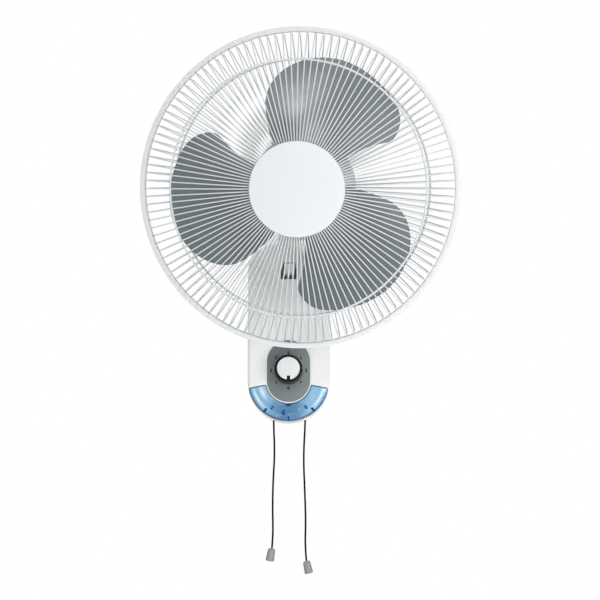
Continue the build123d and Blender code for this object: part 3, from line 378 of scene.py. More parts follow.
@dataclass(frozen=True)
class BareMetal:
    """Plated, cast or sheet metal, with brushing or lamination lines."""

    name: str
    colour: Colour
    roughness: float = 0.35
    lines: float = 400.0
    depth: float = 0.00002
    stretch: Place = (1.0, 6.0, 0.3)
    line_shades: Span = (0.85, 1.1)
    patch_lumps: float = 30.0
    patch_haze: float = 0.2

    def material(self) -> bpy.types.Material:
        """Builds the material."""
        work = Shading(self.name)
        stretched = work.node("ShaderNodeMapping", Vector=work.place(), Scale=self.stretch)
        way = work.signal(stretched, "Vector")
        made = work.node("ShaderNodeTexNoise", Vector=way, Scale=self.lines, Detail=3.0)
        brush = work.signal(made, "Fac")
        patch = work.noise(self.patch_lumps, detail=3.0)
        darker, lighter = (shade(self.colour, factor) for factor in self.line_shades)
        return work.surface(
            Base_Color=work.mix(darker, lighter, brush),
            Metallic=1.0,
            Roughness=self.roughness + (patch - 0.5) * self.patch_haze,
            Normal=work.bump(brush, self.depth),
        )


@dataclass(frozen=True)
class Glare:
    """A painted highlight arc on the lens, in metres: where it is strongest, and how far it fades.
    """

    radius: float
    half_width: float
    z: float
    half_height: float


@dataclass(frozen=True)
class ClearBlue:
    """The lens: glossy blue plastic, with light and shade painted into its colour.

    Painted reflection makes its sides and its right paler, painted highlights lie in two arcs and
    in small glints, and painted shade darkens its inner and outer edges and its lower end; a thin
    line at mid radius is darker too. Its places and widths are in metres, and its radii are round
    the column's foot. A share is how much of a colour goes on at most.
    """

    name: str
    # The dark blue of the painted shade at the lens's edges and lower end.
    edge_shade: Colour = (0.025, 0.09, 0.21)
    middle: Colour = (0.05, 0.185, 0.35)
    # The paler blue of the painted reflection on the lens's sides.
    pale: Colour = (0.27, 0.54, 0.76)
    # The colour of the painted highlights and glints.
    gleam: Colour = (0.66, 0.83, 0.92)
    foot_z: float = -0.0725
    # Painted shade darkens the lower end, the inner edge and the outer edge; the line at mid radius
    # is darkened with them.
    end_lean: float = radians(10.5)
    end_fade: Span = (0.0026, 0.001)
    inner: float = 0.0338
    inner_fade: Span = (0.0024, 0.0008)
    inner_share: float = 0.7
    mid_line: float = 0.0475
    mid_line_half: float = 0.0008
    mid_line_share: float = 0.45
    outer: float = 0.0605
    outer_fade: Span = (0.0042, 0.0022)
    edge_share: float = 0.9
    # Painted reflection: the lens is paler towards both sides, and a little towards its right.
    aside_fade: Span = (0.008, 0.044)
    aside_share: float = 0.7
    right_fade: Span = (0.0, 0.03)
    right_share: float = 0.18
    # Painted highlights: a broad arc on the left and a thin streak on both sides.
    broad_glare: Glare = Glare(0.0425, 0.0055, -0.09, 0.017)
    broad_fade: Span = (-0.02, -0.036)
    thin_glare: Glare = Glare(0.0528, 0.0026, -0.098, 0.022)
    thin_share: float = 1.4
    # This noise mottles the painted reflection on the sides, and the roughness.
    sheen_and_haze_lumps: float = 60.0
    sheen_mottle_share: float = 0.5
    mottle_haze: float = 0.05
    # Painted glints: small spots in the highlight colour.
    glint_lumps: float = 120.0
    glint_fade: Span = (0.5, 0.72)
    glint_share: float = 0.12
    roughness: float = 0.1

    def material(self) -> bpy.types.Material:
        """Builds the material."""
        work = Shading(self.name)
        x, _, z = work.axes()
        radius = (x * x + (z - self.foot_z) ** 2.0) ** 0.5
        # Painted reflection: paler towards both sides and to the right, mottled by a noise.
        marks = work.noise(self.sheen_and_haze_lumps)
        aside = abs(x).rise(*self.aside_fade)
        right = x.rise(*self.right_fade) * self.right_share
        paleness = aside * (self.aside_share + marks * self.sheen_mottle_share) + right
        body = work.mix(self.middle, self.pale, paleness.capped())
        # Painted highlights: a broad arc, a thin streak and small glints.
        broad = self.arc(self.broad_glare, radius, z) * x.rise(*self.broad_fade)
        streak = self.arc(self.thin_glare, radius, z) * aside * self.thin_share
        glint_noise = work.noise(self.glint_lumps, detail=1.0)
        glint = glint_noise.rise(*self.glint_fade) * self.glint_share
        lit = work.mix(body, self.gleam, (broad + streak + glint).capped())
        # Painted shade: darker at the inner and outer edges and the lower end, and along a line at
        # mid radius.
        mid_line = radius.band(self.mid_line, self.mid_line_half) * self.mid_line_share
        rim = radius.rise(*(self.outer - reach for reach in self.outer_fade))
        lip = radius.rise(*(self.inner + reach for reach in self.inner_fade)) * self.inner_share
        below_end = (self.foot_z - z) * cos(self.end_lean) - abs(x) * sin(self.end_lean)
        tip = below_end.rise(*self.end_fade)
        edge = (mid_line + rim + lip + tip).capped() * self.edge_share
        return work.surface(
            Base_Color=work.mix(lit, self.edge_shade, edge),
            Roughness=self.roughness + marks * self.mottle_haze,
            Coat_Weight=0.5,
            Coat_Roughness=0.04,
        )

    def arc(self, glare: Glare, radius: Signal, z: Signal) -> Signal:
        """How strong a glare is at the point being shaded.

        Args:
            glare: the glare.
            radius: the point's distance from the foot's centre.
            z: its height.

        Returns:
            1 in the glare's middle and 0 outside it.
        """
        return radius.band(glare.radius, glare.half_width) * z.band(glare.z, glare.half_height)


@dataclass(frozen=True)
class BraidedCord:
    """A thin black cord: a fine braid that runs round it."""

    name: str
    colour: Colour
    roughness: float = 0.7
    bands: float = 130.0
    waver: float = 1.2
    braid_depth: float = 0.00005
    braid_shades: Span = (0.6, 1.5)
    fuzz_lumps: float = 3000.0
    fuzz_haze: float = 0.2

    def material(self) -> bpy.types.Material:
        """Builds the material."""
        work = Shading(self.name)
        made = work.node(
            "ShaderNodeTexWave",
            {"wave_type": "BANDS", "bands_direction": "DIAGONAL"},
            Vector=work.place(),
            Scale=self.bands,
            Distortion=self.waver,
            Detail=2.0,
            Detail_Scale=6.0,
        )
        braid = work.signal(made, "Fac")
        fuzz = work.noise(self.fuzz_lumps, detail=3.0)
        darker, lighter = (shade(self.colour, factor) for factor in self.braid_shades)
        return work.surface(
            Base_Color=work.mix(darker, lighter, braid),
            Roughness=self.roughness + fuzz * self.fuzz_haze,
            Specular_IOR_Level=0.0,
            Normal=work.bump(braid, self.braid_depth),
        )


@dataclass(frozen=True)
class Ink:
    """Printed marks, slightly worn."""

    name: str
    colour: Colour
    roughness: float = 0.6
    gloss: float = 0.1
    wear_lumps: float = 900.0
    wear_shade: float = 1.5
    wear_haze: float = 0.1

    def material(self) -> bpy.types.Material:
        """Builds the material."""
        work = Shading(self.name)
        wear = work.noise(self.wear_lumps)
        return work.surface(
            Base_Color=work.mix(self.colour, shade(self.colour, self.wear_shade), wear),
            Roughness=self.roughness + wear * self.wear_haze,
            Specular_IOR_Level=self.gloss,
        )


class Finishes:
    """Every material of the fan: by the record's slot, by piece where one differs, and the inks."""

    def __init__(self) -> None:
        """Builds all the materials once."""
        kinds = {
            "white_plastic": MouldedPlastic("white_moulded", (0.87, 0.875, 0.86)),
            "white_plastic_neck": MouldedPlastic("neck_paint", (0.86, 0.855, 0.82)),
            "badge_plastic": MouldedPlastic("badge_white", (0.705, 0.725, 0.74), roughness=0.42),
            "grey_plastic": MouldedPlastic("dial_grey", (0.155, 0.182, 0.186), roughness=0.45),
            "black_plastic": MouldedPlastic(
                "knob_black", (0.006, 0.007, 0.007), roughness=0.26, gloss=0.12
            ),
            "blue_lens": ClearBlue("lens_blue"),
            "blade_plastic": MouldedPlastic("blade_grey", (0.15, 0.174, 0.184), roughness=0.24),
            "white_wire": PowderCoat("wire_coat", (0.685, 0.705, 0.71)),
            # Steel made very dark as painted shade, so that the tilt yoke in the column's slot
            # shows as the dark gaps beside the neck.
            "zinc_steel": BareMetal("shaded_steel", (0.24, 0.24, 0.23), roughness=0.5),
            "lamination_steel": BareMetal("laminations", (0.3, 0.3, 0.32), lines=2200.0),
            "cast_aluminium": BareMetal("casting", (0.66, 0.67, 0.69), roughness=0.5, lines=900.0),
            "copper_wire": BareMetal("winding", (0.5, 0.19, 0.08), roughness=0.4, lines=1500.0),
            "bronze": BareMetal("bearing_bronze", (0.5, 0.33, 0.16), roughness=0.45),
            "cord_black": BraidedCord("cord_braid", (0.002, 0.002, 0.002)),
            "bell_grey": MouldedPlastic("bell_grey", (0.26, 0.26, 0.25), roughness=0.5, grain=2e-6),
        }
        self.by_slot = {slot: finish.material() for slot, finish in kinds.items()}
        own = {
            "knob_cap_soft": MouldedPlastic("disc_white", (0.78, 0.785, 0.77), roughness=0.4),
            "wall_bracket": BareMetal(
                "galvanised", (0.62, 0.63, 0.63), roughness=0.55, lines=250.0
            ),
        }
        self.by_piece = {name: finish.material() for name, finish in own.items()}
        # The hoop's white is the moulded white made darker: painted shade.
        self.hoop_shaded_coat = MouldedPlastic("hoop_white_shaded", (0.7, 0.71, 0.705), roughness=0.4).material()
        self.dial_ink = Ink("dial_ink", (0.006, 0.007, 0.007)).material()
        self.lens_ink = Ink("lens_ink", (0.002, 0.045, 0.17)).material()

    def dress(self, piece: bpy.types.Object, slot: str) -> None:
        """Gives a piece its material.

        Args:
            piece: the piece.
            slot: the record's slot.
        """
        piece.data.materials.clear()
        piece.data.materials.append(self.by_piece.get(piece.name, self.by_slot[slot]))


# ---------------------------------------------------------------- making meshes
@dataclass(frozen=True)
class Axle:
    """A place and three directions: right, up, and forward along a shaft."""

    origin: Vector
    right: Vector
    up: Vector
    forward: Vector

    def matrix(self) -> Matrix:
        """From the axle's own metres to the part's."""
        turn = Matrix((self.right, self.up, self.forward)).transposed().to_4x4()
        return Matrix.Translation(self.origin) @ turn


def finish_piece(
    name: str,
    mesh: bmesh.types.BMesh,
    body: Part,
    axle: Optional[Axle] = None,
    crease: float = 40.0,
) -> bpy.types.Object:
    """Turns a bmesh into a piece of the fan that rides on a body.

    Args:
        name: the piece's name.
        mesh: the shape, in metres; it is freed here.
        body: the body that the piece moves with.
        axle: where the shape's own frame stands, or None for the part's frame.
        crease: edges sharper than this many degrees stay sharp.

    Returns:
        The piece.
    """
    bmesh.ops.remove_doubles(mesh, verts=mesh.verts, dist=WELD)
    bmesh.ops.recalc_face_normals(mesh, faces=mesh.faces)
    if axle is not None:
        bmesh.ops.transform(mesh, matrix=axle.matrix(), verts=mesh.verts)
    for face in mesh.faces:
        face.smooth = True
    for edge in mesh.edges:
        edge.smooth = len(edge.link_faces) == 2 and edge.calc_face_angle(0.0) < radians(crease)
    data = bpy.data.meshes.new(name)
    mesh.to_mesh(data)
    mesh.free()
    piece = bpy.data.objects.new(name, data)
    bpy.context.scene.collection.objects.link(piece)
    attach(piece, body.value)
    LOG.info("%s: %d faces on %s", name, len(data.polygons), body.value)
    return piece


def spun(profile: Corners, steps: int, closed: bool = True) -> bmesh.types.BMesh:
    """A profile turned all the way round the shaft.

    Args:
        profile: its corners, as radius and distance ahead in millimetres.
        steps: how many steps the turn has.
        closed: whether the profile is a loop; otherwise it starts and ends on the shaft.

    Returns:
        The turned shape.
    """
    mesh = bmesh.new()
    verts = [mesh.verts.new((radius * MM, 0.0, ahead * MM)) for radius, ahead in profile]
    following = verts[1:] + verts[:1] if closed else verts[1:]
    edges = [mesh.edges.new(pair) for pair in zip(verts, following)]
    bmesh.ops.spin(
        mesh,
        geom=verts + edges,
        cent=(0, 0, 0),
        axis=(0, 0, 1),
        dvec=(0, 0, 0),
        angle=tau,
        steps=steps,
        use_merge=True,
    )
    bmesh.ops.remove_doubles(mesh, verts=mesh.verts, dist=WELD)
    return mesh


def soften(mesh: bmesh.types.BMesh, width: float, segments: int = 3, least: float = 35.0) -> None:
    """Rounds every edge that is sharper than an angle.

    Args:
        mesh: the shape.
        width: the rounding's width, in millimetres.
        segments: how many faces each rounding has.
        least: the angle, in degrees, past which an edge is rounded.
    """
    sharp = [
        edge
        for edge in mesh.edges
        if len(edge.link_faces) == 2 and edge.calc_face_angle(0.0) > radians(least)
    ]
    bmesh.ops.bevel(
        mesh,
        geom=sharp,
        offset=width * MM,
        offset_type="OFFSET",
        segments=segments,
        profile=0.5,
        affect="EDGES",
        clamp_overlap=True,
        material=-1,
    )


def merged_copy(node: bpy.types.Object) -> bmesh.types.BMesh:
    """A copy of a CAD node's mesh with its loose triangles joined and its flats dissolved.

    Args:
        node: the CAD node's object.

    Returns:
        The joined shape.
    """
    mesh = bmesh.new()
    mesh.from_mesh(node.data)
    bmesh.ops.remove_doubles(mesh, verts=mesh.verts, dist=CAD_WELD)
    bmesh.ops.dissolve_limit(
        mesh,
        angle_limit=radians(FLAT),
        use_dissolve_boundaries=False,
        verts=mesh.verts,
        edges=mesh.edges,
    )
    return mesh


def wire_along(stations: Corners, radius: float, sides: int) -> bmesh.types.BMesh:
    """A round wire through points of the plane that holds the shaft.

    Args:
        stations: radius and distance ahead of each point, in millimetres.
        radius: the wire's radius, in millimetres.
        sides: how many sides its section has.

    Returns:
        The wire, closed at both ends.
    """
    mesh = bmesh.new()
    points = [Vector((out * MM, 0.0, ahead * MM)) for out, ahead in stations]
    runs = [(end - start).normalized() for start, end in zip(points, points[1:])]
    leans = [runs[0]] + [(a + b).normalized() for a, b in zip(runs, runs[1:])] + [runs[-1]]
    ring = bmesh.ops.create_circle(mesh, cap_ends=True, radius=radius * MM, segments=sides)
    turn = Vector((0, 0, 1)).rotation_difference(leans[0]).to_matrix().to_4x4()
    bmesh.ops.transform(mesh, matrix=Matrix.Translation(points[0]) @ turn, verts=ring["verts"])
    face = mesh.faces[:][0]
    for before, after, old, new in zip(points, points[1:], leans, leans[1:]):
        out = bmesh.ops.extrude_face_region(mesh, geom=[face])
        face = next(item for item in out["geom"] if isinstance(item, bmesh.types.BMFace))
        swing = old.rotation_difference(new).to_matrix().to_4x4()
        step = Matrix.Translation(after) @ swing @ Matrix.Translation(-before)
        bmesh.ops.transform(mesh, matrix=step, verts=face.verts)
    return mesh


def bent(corners: Corners, reaches: Sequence[float], steps: int = 4) -> Corners:
    """A wire's stations, its corners rounded.

    Args:
        corners: where the wire turns, with its two ends.
        reaches: how far before and after each corner its bend runs, in millimetres.
        steps: how many runs a bend has.

    Returns:
        The points that the wire goes through.
    """
    points = [Vector(corner) for corner in corners]
    stations = [points[0]]
    for before, corner, after, reach in zip(points, points[1:], points[2:], reaches):
        arm = min(reach, MOST_BEND * (corner - before).length, MOST_BEND * (after - corner).length)
        start = corner + (before - corner).normalized() * arm
        end = corner + (after - corner).normalized() * arm
        for step in range(steps + 1):
            share = step / steps
            stations.append(start.lerp(corner, share).lerp(corner.lerp(end, share), share))
    stations.append(points[-1])
    return tuple((point.x, point.y) for point in stations)


def add_mesh(mesh: bmesh.types.BMesh, other: bmesh.types.BMesh) -> None:
    """Adds another shape to a shape, and frees it.

    Args:
        mesh: the shape that grows.
        other: the shape that is added.
    """
    data = bpy.data.meshes.new("part")
    other.to_mesh(data)
    other.free()
    mesh.from_mesh(data)
    bpy.data.meshes.remove(data)


def repeat_round(mesh: bmesh.types.BMesh, count: int) -> None:
    """Repeats a shape evenly all the way round the shaft.

    Args:
        mesh: the shape, which gets the copies.
        count: how many there are in the end.
    """
    bmesh.ops.spin(
        mesh,
        geom=mesh.verts[:] + mesh.edges[:] + mesh.faces[:],
        cent=(0, 0, 0),
        axis=(0, 0, 1),
        dvec=(0, 0, 0),
        angle=tau * (count - 1) / count,
        steps=count - 1,
        use_duplicate=True,
    )


# ---------------------------------------------------------------- sub-assemblies
@dataclass(frozen=True)
class Ring:
    """A ring round the shaft, oval in section, in millimetres."""

    middle: float
    ahead: float
    half_width: float
    half_depth: float

    def profile(self, sides: int = 12) -> Corners:
        """The section's corners.

        Args:
            sides: how many corners the oval has.

        Returns:
            The corners, as radius and distance ahead.
        """
        turns = [step * tau / sides for step in range(sides)]
        return tuple(
            (self.middle + self.half_width * cos(turn), self.ahead + self.half_depth * sin(turn))
            for turn in turns
        )


@dataclass
class Guard:
    """The wire cage: two halves of round wires, their rings, and the hoop that joins them.

    Sizes are in millimetres, and places are radius and distance ahead on the motor's axle.
    """

    axle: Axle
    finishes: Finishes
    wires: int = 120
    wire_radius: float = 0.82
    wire_sides: int = 6
    wire_crease: float = 75.0  # degrees
    rim_plane: float = 140.0
    hoop_radius: float = 221.0
    hoop_wall: float = 1.6
    hoop_depth: float = 12.0
    hoop_rounding: float = 0.6
    hoop_steps: int = 200
    lip_radius: float = 213.9
    rim_ring: Ring = Ring(216.35, 2.15, 2.75, 1.9)
    front_bends: tuple[float, float] = (13.0, 13.0)
    rear_bends: tuple[float, float] = (5.0, 13.0)
    front_corners: Corners = ((58.0, 198.05), (176.7, 176.0), (212.6, 154.0), (212.6, 140.2))
    rear_corners: Corners = ((66.0, 60.0), (179.4, 91.6), (212.6, 126.0), (212.6, 139.8))
    plate_bore: float = 23.0
    plate_radius: float = 75.0
    plate_back: float = 58.05
    plate_sheet: float = 1.1
    plate_rounding: float = 0.3
    plate_steps: int = 120
    front_rings: tuple[Ring, ...] = (Ring(175.2, 173.5, 1.45, 1.2), Ring(56.5, 196.0, 4.4, 0.75))
    rear_rings: tuple[Ring, ...] = (Ring(180.0, 90.4, 1.45, 1.2),)
    ring_steps: int = 160

    def build(self) -> None:
        """Makes every piece of the guard."""
        self.half("front_wires", self.front_corners, self.front_bends, "front_guard_spokes")
        self.half("rear_wires", self.rear_corners, self.rear_bends, "rear_guard_spokes")
        rim = self.rim_ring
        front_rim = Ring(rim.middle, self.rim_plane + rim.ahead, rim.half_width, rim.half_depth)
        rear_rim = Ring(rim.middle, self.rim_plane - rim.ahead, rim.half_width, rim.half_depth)
        self.rings("front_rings", (front_rim, *self.front_rings), "front_guard_rings")
        self.rings("rear_rings", (rear_rim, *self.rear_rings), "rear_guard_rings")
        self.hoop()
        self.plate()

    def half(self, name: str, corners: Corners, bends: Sequence[float], node: str) -> None:
        """Makes one half's wires.

        Args:
            name: the piece's name.
            corners: where a wire turns, as radius and distance ahead.
            bends: how far each bend reaches from its corner.
            node: the CAD node that the wires stand for.
        """
        mesh = wire_along(bent(corners, bends), self.wire_radius, self.wire_sides)
        repeat_round(mesh, self.wires)
        piece = finish_piece(name, mesh, Part.HEAD, self.axle, self.wire_crease)
        self.finishes.dress(piece, "white_wire")
        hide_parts(node)

    def rings(self, name: str, rings: Iterable[Ring], node: str) -> None:
        """Makes the rings that the wires are welded to.

        Args:
            name: the piece's name.
            rings: the rings.
            node: the CAD node that they stand for.
        """
        mesh = bmesh.new()
        for ring in rings:
            add_mesh(mesh, spun(ring.profile(), self.ring_steps))
        piece = finish_piece(name, mesh, Part.HEAD, self.axle)
        self.finishes.dress(piece, "white_wire")
        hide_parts(node)

    def hoop(self) -> None:
        """Makes the hoop, a channel with soft corners, open towards the wires."""
        outer, inner, lip = self.hoop_radius, self.hoop_radius - self.hoop_wall, self.lip_radius
        back, front = self.rim_plane - self.hoop_depth / 2, self.rim_plane + self.hoop_depth / 2
        profile = (
            (lip, back),
            (outer, back),
            (outer, front),
            (lip, front),
            (lip, front - self.hoop_wall),
            (inner, front - self.hoop_wall),
            (inner, back + self.hoop_wall),
            (lip, back + self.hoop_wall),
        )
        mesh = spun(profile, self.hoop_steps)
        soften(mesh, self.hoop_rounding, segments=2)
        piece = finish_piece("hoop", mesh, Part.HEAD, self.axle)
        piece.data.materials.append(self.finishes.hoop_shaded_coat)
        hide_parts("clamp_hoop")

    def plate(self) -> None:
        """Makes the rear guard's round centre plate, with soft edges."""
        front = self.plate_back + self.plate_sheet
        inside = ((self.plate_bore, self.plate_back), (self.plate_radius, self.plate_back))
        outside = ((self.plate_radius, front), (self.plate_bore, front))
        mesh = spun((*inside, *outside), self.plate_steps)
        soften(mesh, self.plate_rounding, segments=2)
        piece = finish_piece("guard_plate", mesh, Part.HEAD, self.axle)
        self.finishes.dress(piece, "white_wire")
        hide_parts("rear_guard_plate")


@dataclass
class Badge:
    """The blank white disc in the middle of the front guard, in millimetres."""

    axle: Axle
    finishes: Finishes
    radius: float = 65.0
    back: float = 199.0
    sheet: float = 2.5
    crown: float = 2.0
    rounding: float = 1.6
    rounding_steps: int = 5
    rows: int = 10
    steps: int = 120
    spigot_radius: float = 48.0
    spigot_length: float = 4.0

    def build(self) -> None:
        """Makes the disc, slightly crowned, with a rounded rim and the spigot behind it."""
        flat, face = self.radius - self.rounding, self.back + self.sheet
        shares = [1 - row / self.rows for row in range(self.rows)]
        top = [(flat * share, face + self.crown * (1 - share**2)) for share in shares]
        turns = [turn * pi / 2 / self.rounding_steps for turn in range(self.rounding_steps, 0, -1)]
        rim = [
            (flat + self.rounding * sin(turn), face - self.rounding + self.rounding * cos(turn))
            for turn in turns
        ]
        tail = self.back - self.spigot_length
        foot = ((0.0, tail), (self.spigot_radius, tail), (self.spigot_radius, self.back))
        profile = (*foot, (self.radius, self.back), *rim, *top, (0.0, face + self.crown))
        mesh = spun(profile, self.steps, closed=False)
        piece = finish_piece("badge_disc", mesh, Part.HEAD, self.axle)
        self.finishes.dress(piece, "badge_plastic")
        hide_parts("badge")


ROUNDED = {
    Part.COLUMN: {
        "front_cover": 0.8,
        "rear_cover": 0.8,
        "dial_plate": 0.35,
        "lens": 0.5,
        "cord_guides": 0.4,
        "cable_inlet": 0.4,
    },
    Part.DIAL: {"knob_skirt": 0.7, "knob_cap": 0.5},
    Part.NECK: {"neck": 1.2},
    Part.HEAD: {"motor_front_cover": 1.0, "motor_rear_cover": 1.0, "guard_nut": 1.2},
}


@dataclass
class Mouldings:
    """The covers and small mouldings: the CAD shapes with their edges rounded."""

    nodes: dict[str, bpy.types.Object]
    slots: dict[str, str]
    finishes: Finishes
    segments: int = 3
    least: float = 30.0  # degrees: sharper edges are rounded
    crease: float = 32.0  # degrees: sharper edges of the result stay sharp

    def build(self) -> None:
        """Rounds the edges of each moulding in ROUNDED, which gives the widths in millimetres."""
        for body, widths in ROUNDED.items():
            for name, width in widths.items():
                self.rounded(name, width, body, self.slots[name])

    def rounded(self, name: str, width: float, body: Part, slot: str) -> None:
        """Replaces a CAD node with a copy whose edges are rounded.

        Args:
            name: the CAD node's name.
            width: the rounding's width, in millimetres.
            body: the body that it rides on.
            slot: the record's slot.
        """
        mesh = merged_copy(self.nodes[name])
        soften(mesh, width, self.segments, self.least)
        piece = finish_piece(f"{name}_soft", mesh, body, crease=self.crease)
        self.finishes.dress(piece, slot)
        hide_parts(name)


@dataclass
class PullCord:
    """A pull cord, whose lower end is in its bell.

    Its route and diameter are in millimetres, and its length is in metres.
    """

    name: str
    body: Part
    route: Sequence[Place]
    length: float
    bell: str
    finishes: Finishes
    diameter: float = 2.7

    def build(self) -> None:
        """Makes the cord as one smooth curve through its route."""
        curve = bpy.data.curves.new(f"{self.name}_line", "CURVE")
        curve.dimensions = "3D"
        curve.bevel_depth = 1.0
        curve.bevel_resolution = 3
        curve.resolution_u = 16
        curve.use_fill_caps = True
        spline = curve.splines.new("NURBS")
        spline.points.add(len(self.route) - 1)
        for point, place in zip(spline.points, self.route):
            point.co = (place[0] * MM, place[1] * MM, place[2] * MM, 1.0)
            point.radius = self.diameter / 2 * MM
        spline.order_u = 3
        spline.use_endpoint_u = True
        piece = bpy.data.objects.new(f"{self.name}_line", curve)
        bpy.context.scene.collection.objects.link(piece)
        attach(piece, self.body.value)
        self.finishes.dress(piece, "cord_black")
        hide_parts(self.name)


@dataclass(frozen=True)
class Mark:
    """A printed block on the lens: its angle, and sizes in millimetres."""

    angle: float
    middle: float
    length: float
    width: float


@dataclass
class DialPrint:
    """The plain numbers round the knob and the plain marks on the lens, in millimetres."""

    finishes: Finishes
    plate_face: float = -71.0
    knob_z: float = -58.0
    number_circle: float = 26.0
    number_size: float = 6.3
    number_lift: float = 0.04
    boldness: float = 0.36
    ink_depth: float = 0.03
    positions: int = 8
    speeds: int = 4
    lens_face: float = -70.05
    mark_depth: float = 0.08
    mark_rounding: float = 0.5
    foot_z: float = -72.5
    marks: tuple[Mark, ...] = (
        Mark(270.0, 36.4, 3.4, 7.8),
        Mark(270.0, 56.0, 7.0, 2.4),
        Mark(232.0, 56.0, 7.0, 3.6),
        Mark(310.0, 56.0, 7.0, 3.6),
        Mark(239.0, 45.4, 2.2, 4.6),
        Mark(239.0, 48.6, 2.4, 3.4),
        Mark(261.0, 45.6, 2.2, 4.2),
        Mark(261.0, 49.4, 3.6, 4.8),
        Mark(303.0, 45.4, 2.2, 4.6),
        Mark(303.0, 48.6, 2.4, 3.4),
    )

    def build(self) -> None:
        """Prints the numbers and the lens's marks."""
        mesh = bmesh.new()
        face = self.plate_face - self.number_lift
        for step in range(self.positions):
            angle = pi / 2 - step * tau / self.positions
            out, up = self.number_circle * cos(angle), self.number_circle * sin(angle)
            self.number(mesh, str(step % self.speeds), Vector((out, face, self.knob_z + up)))
        piece = finish_piece("dial_numbers", mesh, Part.COLUMN)
        piece.data.materials.append(self.finishes.dial_ink)
        self.lens_marks()

    def lens_marks(self) -> None:
        """Prints the plain blocks and ticks on the lens."""
        mesh = bmesh.new()
        for mark in self.marks:
            made = bmesh.ops.create_cube(mesh, size=1.0)
            size = Matrix.Diagonal((mark.length * MM, self.mark_depth * MM, mark.width * MM, 1.0))
            out = Matrix.Translation((mark.middle * MM, 0.0, 0.0))
            turn = Matrix.Rotation(radians(-mark.angle), 4, "Y")
            place = Matrix.Translation((0.0, self.lens_face * MM, self.foot_z * MM))
            bmesh.ops.transform(mesh, matrix=place @ turn @ out @ size, verts=made["verts"])
        soften(mesh, self.mark_rounding, segments=2)
        piece = finish_piece("lens_marks", mesh, Part.COLUMN)
        piece.data.materials.append(self.finishes.lens_ink)

    def number(self, mesh: bmesh.types.BMesh, digit: str, middle: Vector) -> None:
        """Adds one number, facing the viewer.

        Args:
            mesh: the bmesh that gets it.
            digit: what it says.
            middle: where its middle is, in millimetres.
        """
        text = bpy.data.curves.new("digit", "FONT")
        text.body = digit
        text.size = self.number_size * MM
        text.align_x = "CENTER"
        text.align_y = "CENTER"
        text.extrude = self.ink_depth * MM
        text.offset = self.boldness * MM
        holder = bpy.data.objects.new("digit", text)
        data = bpy.data.meshes.new_from_object(holder)
        upright = Matrix.Rotation(radians(90), 4, "X")
        data.transform(Matrix.Translation(middle * MM) @ upright)
        mesh.from_mesh(data)
        bpy.data.objects.remove(holder)
        bpy.data.curves.remove(text)
        bpy.data.meshes.remove(data)


def background_rays(tree: bpy.types.NodeTree) -> Signal:
    """1 for the rays that show the background: seen, mirrored and through clear pieces.

    Args:
        tree: the world's or a material's node tree.

    Returns:
        1 for those rays and 0 for the rest.
    """
    ways = tree.nodes.new("ShaderNodeLightPath").outputs
    seen = [Signal(tree, ways[f"Is {kind} Ray"]) for kind in ("Camera", "Glossy", "Transmission")]
    return (seen[0] + seen[1] + seen[2]).capped()


@dataclass(frozen=True)
class Lamp:
    """A round soft lamp: its place and width in millimetres, and its power in watts."""

    name: str
    place: Place
    width: float
    power: float
    gleam_only: bool = False


LAMPS = (
    Lamp("key", (500.0, -2500.0, 800.0), 1000.0, 15.5),
    Lamp("side", (1300.0, -1700.0, -350.0), 650.0, 9.5),
    Lamp("low", (300.0, -1700.0, -1200.0), 1300.0, 15.0),
    Lamp("left", (-2200.0, -900.0, 300.0), 1500.0, 3.5),
    Lamp("back", (300.0, 1700.0, 1000.0), 1500.0, 14.0),
    Lamp("gleam", (1060.0, -2530.0, -140.0), 340.0, 11.0, gleam_only=True),
)


